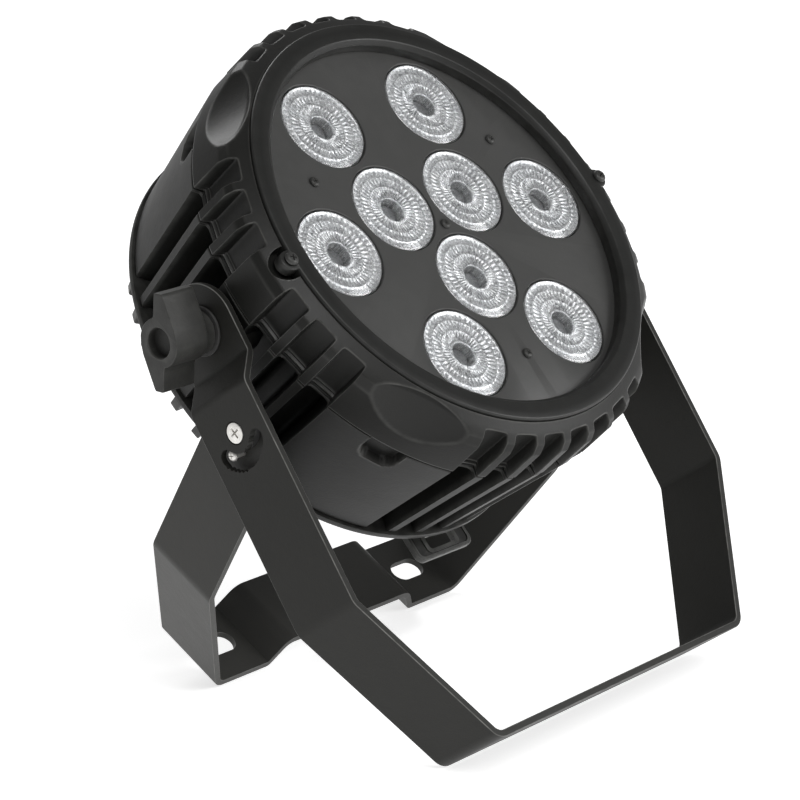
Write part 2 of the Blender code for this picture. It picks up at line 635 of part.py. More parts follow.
def arc_slot(r0, r1, a0, a1, n=10):
    """Outline of a slot between two radii, with round ends; angle 0 points down the arm, positive to the front."""
    rm, h = (r0 + r1) / 2, (r1 - r0) / 2

    def pt(rr, aa):
        return -rr * math.sin(rad(aa)), -rr * math.cos(rad(aa))
    out = [pt(r1, a0 + (a1 - a0) * i / n) for i in range(n + 1)]
    c = pt(rm, a1)
    base = math.degrees(math.atan2(pt(r1, a1)[1] - c[1], pt(r1, a1)[0] - c[0]))
    out += [(c[0] + h * math.cos(rad(base - 180 * i / 6)), c[1] + h * math.sin(rad(base - 180 * i / 6))) for i in range(1, 6)]
    out += [pt(r0, a1 + (a0 - a1) * i / n) for i in range(n + 1)]
    c = pt(rm, a0)
    base = math.degrees(math.atan2(pt(r0, a0)[1] - c[1], pt(r0, a0)[0] - c[0]))
    out += [(c[0] + h * math.cos(rad(base - 180 * i / 6)), c[1] + h * math.sin(rad(base - 180 * i / 6))) for i in range(1, 6)]
    return out


for s, side in ((-1, "left"), (1, "right")):
    bm = bmesh.new()
    cyl_bm(bm, 4.6, min(s * 100, s * 140), max(s * 100, s * 140), 24)
    along_x(bm)
    c = add("cut_yoke_pivot_" + side, mesh_from(bm, "cut_yoke_pivot_" + side), YOKE, True)
    boolean(yoke, c)
    bm = turned_bm([(0, 118.0), (2.9, 118.0), (2.9, YOKE_ARM_X - 2.35), (4.85, YOKE_ARM_X - 0.4), (4.85, 135.0), (0, 135.0)], 24)
    if s < 0:
        bmesh.ops.rotate(bm, verts=bm.verts, cent=(0, 0, 0), matrix=Matrix.Rotation(math.pi, 3, "X"))
    along_x(bm)
    c = add("cut_yoke_fold_" + side, mesh_from(bm, "cut_yoke_fold_" + side), FOLD, True)
    boolean(yoke, c)
    bm = bmesh.new()
    prism_bm(bm, arc_slot(SLOT_R0, SLOT_R1, -55.0, 58.0), min(s * 121, s * 140), max(s * 121, s * 140))
    along_x(bm)
    c = add("cut_yoke_slot_" + side, mesh_from(bm, "cut_yoke_slot_" + side), FOLD, True)
    boolean(yoke, c)

# ---------------------------------------------------------------- stand
m_stand = mat_for("rear_stand", (0.024, 0.024, 0.022), 0.5)
half = [(-STAND_ARM_X, 24.0), (-STAND_ARM_X, -STAND_BEND_S), (-STAND_BASE_X, -STAND_BASE_S),
        (-STAND_RISE_X0, -STAND_BASE_S), (-STAND_RISE_X1, -STAND_BASE_S + STAND_RISE)]
pts = half + [(-x, z) for x, z in half[::-1]]
radii = [0, 9, 8, 3.2, 6.2, 6.2, 3.2, 8, 9, 0]
stand = bent_strip("rear_stand", pts, radii, STAND, m_stand)
boolean(stand, keep_shape("cut_stand_ends", STAND, STAND_END, STRIP_HW + 0.02))
bm = bmesh.new()
for s in (-1, 1):
    o = (arc(s * STAND_SLOT_X + STAND_SLOT_C, 0, STAND_SLOT_R, -90, 90, 8)
         + arc(s * STAND_SLOT_X - STAND_SLOT_C, 0, STAND_SLOT_R, 90, 270, 8))
    prism_bm(bm, o, -STAND_BASE_S - 10, -STAND_BASE_S + 8)
c = add("cut_stand_slots", mesh_from(bm, "cut_stand_slots"), STAND, True)
boolean(stand, c)
bm = bmesh.new()
for s in (-1, 1):
    cyl_bm(bm, 2.8, min(s * 110, s * 125), max(s * 110, s * 125), 20)
STOP_OWN = STOP_A - (YOKE_LEAN + STAND_LEAN)      # stop screw's angle in the stand's own frame
sy, sz = STOP_R * math.sin(rad(STOP_OWN)), -STOP_R * math.cos(rad(STOP_OWN))
for s in (-1, 1):
    cyl_bm(bm, 1.8, min(s * 110, s * 125), max(s * 110, s * 125), 12, (sy, sz))
along_x(bm)
c = add("cut_stand_holes", mesh_from(bm, "cut_stand_holes"), STAND, True)
boolean(stand, c)

# ---------------------------------------------------------------- fold screws, spacers, stop screws
fold_me = screw_mesh("fold_screw", 4.4, 2.1, 2.5, YOKE_ARM_X - 116.3, m_steel, flush=True, cross=2.6)
m_spacer = mat_for("fold_spacer", (0.03, 0.03, 0.03), 0.5)
for s, side in ((-1, "left"), (1, "right")):
    o = add("fold_screw_" + side, fold_me, FOLD)
    o.location = (s * YOKE_ARM_X * MM, 0, 0)
    o.rotation_euler = (0, s * math.pi / 2, 0)
    bm = turned_bm([(7.4, 119.3), (7.4, 123.4), (2.8, 123.4), (2.8, 119.3)], 20)
    if s < 0:
        bmesh.ops.rotate(bm, verts=bm.verts, cent=(0, 0, 0), matrix=Matrix.Rotation(math.pi, 3, "X"))
    along_x(bm)
    sp = add("fold_spacer_" + side, mesh_from(bm, "fold_spacer_" + side), FOLD, False, m_spacer)
    smooth(sp)
stop_me = screw_mesh("stop_screw", 2.35, 6.6, 1.5, 3.0, m_steel, cross=1.5)
for s, side in ((-1, "left"), (1, "right")):
    o = add("stop_screw_" + side, stop_me, STAND)
    o.location = (s * (STAND_ARM_X + GAP) * MM, sy * MM, sz * MM)
    o.rotation_euler = (0, s * math.pi / 2, 0)

# ---------------------------------------------------------------- wing knobs, their studs and washers
m_knob = mat_for("wing_knob", (0.035, 0.035, 0.034), 0.55)
m_stud = mat_for("knob_stud", (0.55, 0.55, 0.54), 0.3, 1.0)
m_washer = mat_for("tilt_washer", (0.02, 0.02, 0.02), 0.5)
HUB = 10.4
TIP = 20.6


def wing_outline():
    """End view of the knob: a round hub with two blades, each flush with the hub on one side and stepped on the other."""
    upper = arc(0, 0, HUB, 8.0, 74.0, 6)             # rear of the hub up to the blade's stepped side
    upper += [(2.6, 12.0), (2.3, TIP - 0.8), (1.6, TIP), (-2.0, TIP), (-2.8, TIP - 0.9)]
    upper += [(-9.0, 6.4), (-10.2, 2.0)]
    lower = [(-x, -y) for x, y in upper]
    return upper + lower


for s, side in ((-1, "left"), (1, "right")):
    bm = bmesh.new()
    prism_bm(bm, wing_outline(), KNOB_X0, KNOB_X1)
    bmesh.ops.bevel(bm, geom=[e for e in bm.edges if abs(e.verts[0].co.z - e.verts[1].co.z) < 1e-6],
                    offset=0.8 * MM, segments=2, profile=0.5, affect="EDGES")
    k = add("tilt_knob_" + side, mesh_from(bm, "tilt_knob_" + side), KNOBS, False, m_knob)
    k.rotation_euler = (0, 0, 0)
    bmk = bmesh.new()
    bmk.from_mesh(k.data)
    # one moulding for both sides: the right-hand copy is the left-hand one turned half round the Z axis
    bmesh.ops.scale(bmk, verts=bmk.verts, vec=(1, 1, -1) if s < 0 else (-1, 1, 1))
    bmesh.ops.reverse_faces(bmk, faces=bmk.faces)
    along_x(bmk)
    bmesh.ops.recalc_face_normals(bmk, faces=bmk.faces)
    bmk.to_mesh(k.data)
    bmk.free()
    bm = bmesh.new()
    cyl_bm(bm, 9.3, min(s * 119.3, s * 127), max(s * 119.3, s * 127), 24)
    along_x(bm)
    c = add("join_neck_" + side, mesh_from(bm, "join_neck_" + side), KNOBS, True)
    boolean(k, c, "UNION")
    bm = turned_bm([(0, 112.0), (4.3, 112.0), (4.3, 136.3), (0, 136.3)], 20)
    if s < 0:
        bmesh.ops.rotate(bm, verts=bm.verts, cent=(0, 0, 0), matrix=Matrix.Rotation(math.pi, 3, "X"))
    along_x(bm)
    c = add("cut_knob_bore_" + side, mesh_from(bm, "cut_knob_bore_" + side), KNOBS, True)
    boolean(k, c)
    bm = bmesh.new()
    cyl_bm(bm, 6.2, min(s * 139, s * 150), max(s * 139, s * 150), 20)
    along_x(bm)
    c = add("cut_knob_recess_" + side, mesh_from(bm, "cut_knob_recess_" + side), KNOBS, True)
    boolean(k, c)
    smooth(k)

    bm = turned_bm([(0, 101.0), (3.4, 101.0), (4.0, 101.8), (4.0, 135.2), (3.4, 136.0), (0, 136.0)], 20)
    if s < 0:
        bmesh.ops.rotate(bm, verts=bm.verts, cent=(0, 0, 0), matrix=Matrix.Rotation(math.pi, 3, "X"))
    along_x(bm)
    st = add("tilt_stud_" + side, mesh_from(bm, "tilt_stud_" + side), KNOBS, False, m_stud)
    smooth(st)
    bm = turned_bm([(10.6, 117.8), (10.6, 119.0), (4.4, 119.0), (4.4, 117.8)], 22)
    if s < 0:
        bmesh.ops.rotate(bm, verts=bm.verts, cent=(0, 0, 0), matrix=Matrix.Rotation(math.pi, 3, "X"))
    along_x(bm)
    wa = add("tilt_washer_" + side, mesh_from(bm, "tilt_washer_" + side), YOKE, False, m_washer)
    smooth(wa)

bpy.context.view_layer.update()
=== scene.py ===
"""Looks of the par can light: fine surfaces, procedural finishes, studio and camera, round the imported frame."""
import json
import math

import bmesh
import bpy
import numpy as np
from mathutils import Matrix, Vector


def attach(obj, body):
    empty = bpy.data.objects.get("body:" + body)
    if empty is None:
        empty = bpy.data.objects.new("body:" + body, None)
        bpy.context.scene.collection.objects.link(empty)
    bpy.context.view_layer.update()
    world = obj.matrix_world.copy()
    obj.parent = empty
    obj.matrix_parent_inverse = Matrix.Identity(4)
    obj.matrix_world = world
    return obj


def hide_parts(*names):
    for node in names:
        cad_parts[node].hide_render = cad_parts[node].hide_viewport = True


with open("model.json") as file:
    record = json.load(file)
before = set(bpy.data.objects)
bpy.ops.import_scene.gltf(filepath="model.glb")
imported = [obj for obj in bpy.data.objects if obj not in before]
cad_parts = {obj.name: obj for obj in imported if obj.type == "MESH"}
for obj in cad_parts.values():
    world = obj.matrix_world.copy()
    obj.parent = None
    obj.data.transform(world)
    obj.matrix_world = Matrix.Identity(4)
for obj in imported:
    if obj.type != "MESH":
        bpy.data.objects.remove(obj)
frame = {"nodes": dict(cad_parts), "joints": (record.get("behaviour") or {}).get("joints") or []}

MM = 0.001
rad = math.radians
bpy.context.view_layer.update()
JOINTS = {j["name"]: j for j in frame["joints"]}

# ------------------------------------------------------------------ frames
YOKE_LEAN, STAND_LEAN, BEAM_UP = rad(35.45), rad(29.48), rad(42.71)
P1 = Vector(JOINTS["head_tilt"]["pos_m"])
P2 = Vector(JOINTS["stand_fold"]["pos_m"])
HEAD = Matrix.Translation(P1) @ Matrix.Rotation(rad(90.0) - BEAM_UP, 4, "X")
YOKE = Matrix.Translation(P1) @ Matrix.Rotation(-YOKE_LEAN, 4, "X")
FOLD = Matrix.Translation(P2) @ Matrix.Rotation(-YOKE_LEAN, 4, "X")
STAND = Matrix.Translation(P2) @ Matrix.Rotation(STAND_LEAN, 4, "X")
KNOBS = Matrix.Translation(P1)
ALONG_X = Matrix(((0, 0, 1, 0), (1, 0, 0, 0), (0, 1, 0, 0), (0, 0, 0, 1)))


# ------------------------------------------------------------------ mesh helpers (drawn in mm)
def polar(r, deg):
    return r * math.cos(rad(deg)), r * math.sin(rad(deg))


def arc(cx, cy, r, a0, a1, n):
    return [(cx + r * math.cos(rad(a0 + (a1 - a0) * i / n)), cy + r * math.sin(rad(a0 + (a1 - a0) * i / n)))
            for i in range(n + 1)]


def new_obj(name, me):
    o = bpy.data.objects.new(name, me)
    bpy.context.scene.collection.objects.link(o)
    return o


def bm_obj(name, bm, weld=1e-5):
    if weld:
        bmesh.ops.remove_doubles(bm, verts=bm.verts, dist=weld)
    bmesh.ops.recalc_face_normals(bm, faces=bm.faces)
    me = bpy.data.meshes.new(name)
    bm.to_mesh(me)
    bm.free()
    return new_obj(name, me)


def grid_obj(name, rows, cap0=False, cap1=False, loop=False):
    """rows: (n, T, 3) points in mm; wraps round along T. cap0 and cap1 close an end with a fan, loop joins last to first."""
    rows = np.asarray(rows, float)
    n, t = rows.shape[:2]
    verts = rows.reshape(-1, 3).tolist()
    faces = []
    last = n if loop else n - 1
    idx = np.arange(t)
    nxt = (idx + 1) % t
    for i in range(last):
        a, b = i * t, ((i + 1) % n) * t
        faces += np.stack([a + idx, a + nxt, b + nxt, b + idx], 1).tolist()
    if cap0:
        verts.append(rows[0].mean(0).tolist())
        c = len(verts) - 1
        faces += [[c, int(nx), int(ix)] for ix, nx in zip(idx, nxt)]
    if cap1:
        verts.append(rows[-1].mean(0).tolist())
        c = len(verts) - 1
        a = (n - 1) * t
        faces += [[c, int(a + ix), int(a + nx)] for ix, nx in zip(idx, nxt)]
    me = bpy.data.meshes.new(name)
    me.from_pydata(verts, [], faces)
    me.validate()
    bm = bmesh.new()
    bm.from_mesh(me)
    bmesh.ops.remove_doubles(bm, verts=bm.verts, dist=1e-5)
    bmesh.ops.recalc_face_normals(bm, faces=bm.faces)
    bm.to_mesh(me)
    bm.free()
    return new_obj(name, me)


def turned(name, profile, segs=96, phase=0.0):
    """Closed (r, z) profile turned about Z, with the axis closed where r is 0."""
    th = np.linspace(0, 2 * math.pi, segs, endpoint=False) + phase
    prof = [p for p in profile]
    cap0, cap1 = prof[0][0] == 0, prof[-1][0] == 0
    body = prof[1 if cap0 else 0: -1 if cap1 else None]
    rows = [np.stack([r * np.cos(th), r * np.sin(th), np.full(segs, z)], 1) for r, z in body]
    return grid_obj(name, rows, cap0, cap1, loop=not (cap0 and cap1))


def fillet(points, radii, n=4):
    """Rounds the corners of a polyline of (x, y); the first and last point stay."""
    out = [points[0]]
    for i in range(1, len(points) - 1):
        p, a, b = Vector(points[i]), Vector(points[i - 1]), Vector(points[i + 1])
        r = radii if isinstance(radii, (int, float)) else radii[i]
        u, v = (a - p), (b - p)
        lu, lv = u.length, v.length
        if r <= 0 or lu < 1e-6 or lv < 1e-6:
            out.append(tuple(p))
            continue
        u, v = u / lu, v / lv
        ang = math.acos(max(-1, min(1, u.dot(v))))
        if ang > math.pi - 0.02:
            out.append(tuple(p))
            continue
        t = min(r / math.tan(ang / 2), lu * 0.49, lv * 0.49)
        r2 = t * math.tan(ang / 2)
        c = p + (u + v).normalized() * (r2 / math.sin(ang / 2))
        s0, s1 = p + u * t - c, p + v * t - c
        a0, a1 = math.atan2(s0.y, s0.x), math.atan2(s1.y, s1.x)
        d = (a1 - a0 + math.pi) % (2 * math.pi) - math.pi
        out += [(c.x + r2 * math.cos(a0 + d * k / n), c.y + r2 * math.sin(a0 + d * k / n)) for k in range(n + 1)]
    out.append(points[-1])
    return out


def fillet_loop(points, r, n=4):
    """Rounds every corner of a closed outline."""
    m = len(points)
    rr = [r] * m if isinstance(r, (int, float)) else list(r)
    ext = [points[-1]] + list(points) + [points[0]]
    return fillet(ext, [0] + rr + [0], n)[1:-1]


def prism(name, outline, z0, z1, bevel=0.0, segs=2, corner=None):
    bm = bmesh.new()
    lo = [bm.verts.new((x, y, z0)) for x, y in outline]
    f = bm.faces.new(lo)
    out = bmesh.ops.extrude_face_region(bm, geom=[f])
    bmesh.ops.translate(bm, verts=[g for g in out["geom"] if isinstance(g, bmesh.types.BMVert)], vec=(0, 0, z1 - z0))
    bmesh.ops.recalc_face_normals(bm, faces=bm.faces)
    if bevel:
        es = [e for e in bm.edges if abs(e.verts[0].co.z - e.verts[1].co.z) < 1e-6]
        bmesh.ops.bevel(bm, geom=es, offset=bevel, segments=segs, profile=0.5, affect="EDGES", clamp_overlap=True)
    return bm_obj(name, bm)


def box(name, lo, hi, bevel=0.0, segs=2):
    bm = bmesh.new()
    c = [(a + b) / 2 for a, b in zip(lo, hi)]
    s = [b - a for a, b in zip(lo, hi)]
    bmesh.ops.create_cube(bm, size=1.0, matrix=Matrix.Translation(c) @ Matrix.Diagonal((*s, 1)))
    if bevel:
        bmesh.ops.bevel(bm, geom=bm.edges[:], offset=bevel, segments=segs, profile=0.5, affect="EDGES", clamp_overlap=True)
    return bm_obj(name, bm)


def moved(o, m):
    o.data.transform(m)
    if m.to_3x3().determinant() < 0:
        o.data.flip_normals()
    return o


def at(o, x=0, y=0, z=0):
    return moved(o, Matrix.Translation((x, y, z)))


def joined(name, objs):
    bm = bmesh.new()
    for o in objs:
        bm.from_mesh(o.data)
        bpy.data.objects.remove(o, do_unlink=True)
    return bm_obj(name, bm, 0)


def boolean(o, *cutters, op="DIFFERENCE", solver="EXACT"):
    for c in cutters:
        m = o.modifiers.new("b", "BOOLEAN")
        m.operation, m.solver, m.object = op, solver, c
    bpy.context.view_layer.update()
    me = bpy.data.meshes.new_from_object(o.evaluated_get(bpy.context.evaluated_depsgraph_get()))
    o.modifiers.clear()
    old = o.data
    o.data = me
    bpy.data.meshes.remove(old)
    for c in cutters:
        bpy.data.objects.remove(c, do_unlink=True)
    bm = bmesh.new()
    bm.from_mesh(me)
    bmesh.ops.remove_doubles(bm, verts=bm.verts, dist=1e-5)
    bmesh.ops.dissolve_degenerate(bm, edges=bm.edges, dist=1e-5)
    bm.to_mesh(me)
    bm.free()
    return o


def smin(a, b, k):
    h = np.clip(0.5 + 0.5 * (b - a) / k, 0, 1)
    return b * (1 - h) + a * h - k * h * (1 - h)


def smax(a, b, k):
    return -smin(-a, -b, k)


def sstep(x, a, b):
    t = np.clip((x - a) / (b - a), 0, 1)
    return t * t * (3 - 2 * t)


def edge_wear(me, scale=0.5, top=9.0, low=0.0):
    """Stores how convex each point is, so that a finish can show rubbed, brighter edges, and on the brackets a painted
    highlight along them.
    Points on an edge sharper than top (a plain cut hole) get none, and values up to low are dropped."""
    bm = bmesh.new()
    bm.from_mesh(me)
    w = np.zeros(len(bm.verts), np.float32)
    cut = set()
    for e in bm.edges:
        if len(e.link_faces) == 2:
            a = e.calc_face_angle_signed(0.0)
            if a > top:
                cut.update(q.index for q in e.verts)
            elif a > 0.06:
                v = min(1.0, a / scale)
                for q in e.verts:
                    if v > w[q.index]:
                        w[q.index] = v
    bm.free()
    w[list(cut)] = 0.0
    w = np.clip((w - low) / (1.0 - low), 0.0, 1.0).astype(np.float32)
    at_ = me.attributes.get("edge_wear") or me.attributes.new("edge_wear", "FLOAT", "POINT")
    at_.data.foreach_set("value", w)


MATS = {}


def place(o, m, body, slot, mat, *nodes, sharp=32.0, weighted=False, wear_and_highlight=0.5, top=9.0, low=0.0):
    """From mm in its own frame to metres in the row frame; then finish, shading, wear and body."""
    me = o.data
    me.transform(m @ Matrix.Diagonal((MM, MM, MM, 1)))
    me.materials.clear()
    for x in (mat if isinstance(mat, (list, tuple)) else [mat]):
        me.materials.append(x)
    me.shade_smooth()
    me.set_sharp_from_angle(angle=rad(sharp))
    edge_wear(me, wear_and_highlight, top, low)
    if weighted:
        w = o.modifiers.new("weighted", "WEIGHTED_NORMAL")
        w.keep_sharp = True
        w.weight = 80
    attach(o, body)
    if nodes:
        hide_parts(*nodes)
    return o


# ------------------------------------------------------------------ finishes
def tree(name):
    m = bpy.data.materials.new(name)
    m.use_nodes = True
    nt = m.node_tree
    b = nt.nodes["Principled BSDF"]
    tc = nt.nodes.new("ShaderNodeTexCoord")
    return m, nt, b, tc


def noise(nt, vec, scale, detail=3.0, rough=0.5, stretch=None):
    n = nt.nodes.new("ShaderNodeTexNoise")
    n.inputs["Scale"].default_value = scale
    n.inputs["Detail"].default_value = detail
    n.inputs["Roughness"].default_value = rough
    src = vec
    if stretch:
        mp = nt.nodes.new("ShaderNodeMapping")
        mp.inputs["Scale"].default_value = stretch
        nt.links.new(vec, mp.inputs["Vector"])
        src = mp.outputs["Vector"]
    nt.links.new(src, n.inputs["Vector"])
    return n.outputs["Fac"]


def ramp(nt, fac, a, b, lo=0.0, hi=1.0):
    n = nt.nodes.new("ShaderNodeMapRange")
    n.inputs["From Min"].default_value = a
    n.inputs["From Max"].default_value = b
    n.inputs["To Min"].default_value = lo
    n.inputs["To Max"].default_value = hi
    n.clamp = True
    nt.links.new(fac, n.inputs["Value"])
    return n.outputs["Result"]


def mul(nt, a, b, op="MULTIPLY"):
    n = nt.nodes.new("ShaderNodeMath")
    n.operation = op
    for i, x in enumerate((a, b)):
        if isinstance(x, (int, float)):
            n.inputs[i].default_value = x
        else:
            nt.links.new(x, n.inputs[i])
    return n.outputs[0]


def mixc(nt, fac, c0, c1):
    n = nt.nodes.new("ShaderNodeMix")
    n.data_type = "RGBA"
    nt.links.new(fac, n.inputs["Factor"])
    for s, c in (("A", c0), ("B", c1)):
        i = [x for x in n.inputs if x.name == s and x.type == "RGBA"][0]
        if isinstance(c, tuple):
            i.default_value = (*c, 1.0)
        else:
            nt.links.new(c, i)
    return [x for x in n.outputs if x.type == "RGBA"][0]


def bump(nt, height, strength, dist, prev=None):
    n = nt.nodes.new("ShaderNodeBump")
    n.inputs["Strength"].default_value = strength
    n.inputs["Distance"].default_value = dist
    nt.links.new(height, n.inputs["Height"])
    if prev is not None:
        nt.links.new(prev, n.inputs["Normal"])
    return n.outputs["Normal"]


def coated(name, dark, light, r0, r1, grain=1100.0, grain_amt=0.10, peel=260.0, peel_amt=0.05, wear_and_highlight=(0.10, 0.10, 0.097),
           wear_and_highlight_amt=0.35, spec=0.5, metal=0.0, coat=0.0, coat_rough=0.2, dust=0.12):
    """Powder coat, paint or moulded plastic: fine grain over soft orange peel, patchy sheen, rubbed edges (a light edge
    colour also paints an edge highlight), a little dust.
    """
    m, nt, b, tc = tree(name)
    v = tc.outputs["Object"]
    broad = noise(nt, v, 22.0, 4.0, 0.6)
    mid = noise(nt, v, 140.0, 3.0, 0.55)
    fine = noise(nt, v, grain, 2.0, 0.6)
    soft = noise(nt, v, peel, 1.5, 0.5)
    col = mixc(nt, ramp(nt, broad, 0.30, 0.72), dark, light)
    speck = mul(nt, ramp(nt, fine, 0.60, 0.74), ramp(nt, mid, 0.45, 0.62))
    col = mixc(nt, mul(nt, speck, dust), col, tuple(min(1.0, c * 2.4 + 0.02) for c in light))
    at_ = nt.nodes.new("ShaderNodeAttribute")
    at_.attribute_name = "edge_wear"
    # edge mix: rubbed paint, and where the edge colour is light (the brackets) also a painted edge highlight
    wear_and_highlight_mix = mul(nt, mul(nt, at_.outputs["Fac"], ramp(nt, mid, 0.30, 0.62, 0.35, 1.0)), wear_and_highlight_amt)
    col = mixc(nt, wear_and_highlight_mix, col, wear_and_highlight)
    nt.links.new(col, b.inputs["Base Color"])
    rough = mul(nt, ramp(nt, broad, 0.22, 0.78, r0, r1), ramp(nt, mid, 0.3, 0.7, 0.97, 1.03))
    rough = mul(nt, rough, mul(nt, wear_and_highlight_mix, -0.25), "ADD")
    nt.links.new(rough, b.inputs["Roughness"])
    n1 = bump(nt, soft, peel_amt, 0.0006)
    n2 = bump(nt, fine, grain_amt, 0.00025, n1)
    nt.links.new(n2, b.inputs["Normal"])
    b.inputs["Metallic"].default_value = metal
    b.inputs["Specular IOR Level"].default_value = spec
    if coat:
        b.inputs["Coat Weight"].default_value = coat
        b.inputs["Coat Roughness"].default_value = coat_rough
    return m


def steel(name, base=(0.66, 0.65, 0.62), r0=0.20, r1=0.38, stretch=(1, 1, 1), metal=1.0):
    m, nt, b, tc = tree(name)
    v = tc.outputs["Object"]
    fine = noise(nt, v, 2400.0, 3.0, 0.6, stretch)
    mid = noise(nt, v, 420.0, 3.0, 0.55)
    col = mixc(nt, ramp(nt, mid, 0.35, 0.7), base, tuple(c * 0.78 for c in base))
    at_ = nt.nodes.new("ShaderNodeAttribute")
    at_.attribute_name = "edge_wear"
    col = mixc(nt, mul(nt, at_.outputs["Fac"], 0.4), col, (0.85, 0.84, 0.82))
    nt.links.new(col, b.inputs["Base Color"])
    nt.links.new(ramp(nt, fine, 0.3, 0.7, r0, r1), b.inputs["Roughness"])
    nt.links.new(bump(nt, fine, 0.10, 0.0001), b.inputs["Normal"])
    b.inputs["Metallic"].default_value = metal
    return m


M_FRONT = coated("front_housing_coat", (0.0112, 0.0112, 0.0102), (0.0136, 0.0136, 0.0125), 0.36, 0.43, 1500, 0.18, 420, 0.07,
                 (0.18, 0.18, 0.17), 0.50, 0.25, dust=0.06)
M_REAR = coated("rear_housing_coat", (0.0088, 0.0088, 0.0080), (0.0108, 0.0108, 0.0098), 0.40, 0.48, 1300, 0.20, 380, 0.08,
                (0.15, 0.15, 0.142), 0.42, 0.26, dust=0.06)
M_RING = coated("front_ring_coat", (0.0085, 0.0086, 0.0078), (0.0105, 0.0106, 0.0097), 0.36, 0.44, 1700, 0.12, 500, 0.05,
                (0.12, 0.12, 0.115), 0.26, 0.30)
M_PANEL = coated("lens_panel_film", (0.0490, 0.0490, 0.0476), (0.0520, 0.0520, 0.0506), 0.32, 0.34, 2200, 0.12, 600, 0.03,
                 (0.14, 0.14, 0.135), 0.30, 0.42, coat=0.10, coat_rough=0.16, dust=0.10)
M_GASKET = coated("seam_gasket_rubber", (0.010, 0.010, 0.0095), (0.014, 0.014, 0.013), 0.62, 0.76, 1900, 0.20, 300, 0.10,
                  (0.03, 0.03, 0.03), 0.15, 0.30)
# brackets: the light edge colour (0.30, at 0.75) is partly rubbed paint, partly a painted highlight along the edges
M_YOKE = coated("bracket_powder_coat", (0.0180, 0.0178, 0.0160), (0.0195, 0.0193, 0.0174), 0.455, 0.475, 1250, 0.22, 330, 0.09,
                (0.30, 0.30, 0.285), 0.75, 0.18, dust=0.04)
# stand: the light edge colour (0.30, at 0.65) is partly rubbed paint, partly a painted highlight along the edges
M_STAND = coated("stand_powder_coat", (0.0370, 0.0366, 0.0338), (0.0396, 0.0392, 0.0362), 0.44, 0.47, 1250, 0.22, 330, 0.10,
                 (0.30, 0.30, 0.285), 0.65, 0.26, dust=0.04)
M_KNOB = coated("wing_knob_plastic", (0.0160, 0.0160, 0.0147), (0.0225, 0.0225, 0.0208), 0.46, 0.55, 900, 0.34, 240, 0.14,
                (0.12, 0.12, 0.113), 0.40, 0.32)
M_EYE = coated("safety_eye_coat", (0.0115, 0.0115, 0.0104), (0.0150, 0.0150, 0.0137), 0.38, 0.48, 1250, 0.18, 330, 0.08,
               (0.20, 0.20, 0.19), 0.50, 0.32)
M_SPACER = coated("fold_spacer_nylon", (0.014, 0.014, 0.014), (0.020, 0.020, 0.020), 0.45, 0.58, 1600, 0.15, 400, 0.06)
M_WASHER = coated("tilt_washer_fibre", (0.012, 0.012, 0.012), (0.020, 0.019, 0.018), 0.60, 0.76, 1400, 0.30, 500, 0.14)
M_BLUE = coated("power_socket_shell", (0.010, 0.035, 0.20), (0.014, 0.050, 0.26), 0.34, 0.46, 1400, 0.12, 400, 0.05,
                (0.10, 0.18, 0.40), 0.35, 0.5)
M_GREYPL = coated("power_outlet_shell", (0.27, 0.27, 0.26), (0.33, 0.33, 0.32), 0.36, 0.48, 1400, 0.12, 400, 0.05,
                  (0.5, 0.5, 0.49), 0.3, 0.5)
M_DATA = coated("data_socket_shell", (0.016, 0.016, 0.016), (0.024, 0.024, 0.024), 0.34, 0.46, 1400, 0.12, 400, 0.05,
                (0.10, 0.10, 0.10), 0.35, 0.5)
M_BUTTON = coated("menu_button_rubber", (0.075, 0.075, 0.075), (0.100, 0.100, 0.098), 0.55, 0.68, 1500, 0.18, 380, 0.08,
                  (0.22, 0.22, 0.22), 0.25, 0.4)
M_CASE = coated("power_supply_case", (0.42, 0.43, 0.44), (0.52, 0.53, 0.54), 0.30, 0.44, 1100, 0.10, 300, 0.04,
                (0.75, 0.75, 0.74), 0.3, 0.5, metal=0.85)
M_PCB = coated("control_board_mask", (0.010, 0.085, 0.030), (0.016, 0.120, 0.045), 0.28, 0.42, 1300, 0.14, 200, 0.10,
               (0.30, 0.32, 0.22), 0.3, 0.5)
M_LEDPCB = coated("led_board_mask", (0.62, 0.63, 0.61), (0.72, 0.73, 0.71), 0.35, 0.50, 1300, 0.12, 220, 0.08,
                  (0.8, 0.8, 0.75), 0.3, 0.5)
M_STEEL = steel("bright_zinc_screw", (0.80, 0.78, 0.74), 0.26, 0.40, metal=0.62)
M_BLACKSTEEL = coated("black_oxide_screw", (0.022, 0.022, 0.021), (0.032, 0.032, 0.030), 0.38, 0.48, 2200, 0.14, 500, 0.06,
                      (0.16, 0.16, 0.155), 0.34, 0.3, metal=0.2)
M_STUD = steel("knob_stud_steel", (0.55, 0.55, 0.54), 0.22, 0.40)
M_PIN = steel("contact_pin_nickel", (0.70, 0.66, 0.56), 0.18, 0.30)
M_GLASSDARK = coated("display_glass", (0.0045, 0.0060, 0.0070), (0.0065, 0.0085, 0.0095), 0.05, 0.10, 2600, 0.02, 500, 0.01,
                     (0.10, 0.12, 0.13), 0.30, 0.5, coat=0.6, coat_rough=0.04, dust=0.05)
M_SEGMENT = coated("display_segments", (0.060, 0.010, 0.008), (0.080, 0.014, 0.010), 0.25, 0.35, 2000, 0.05, 500, 0.02)


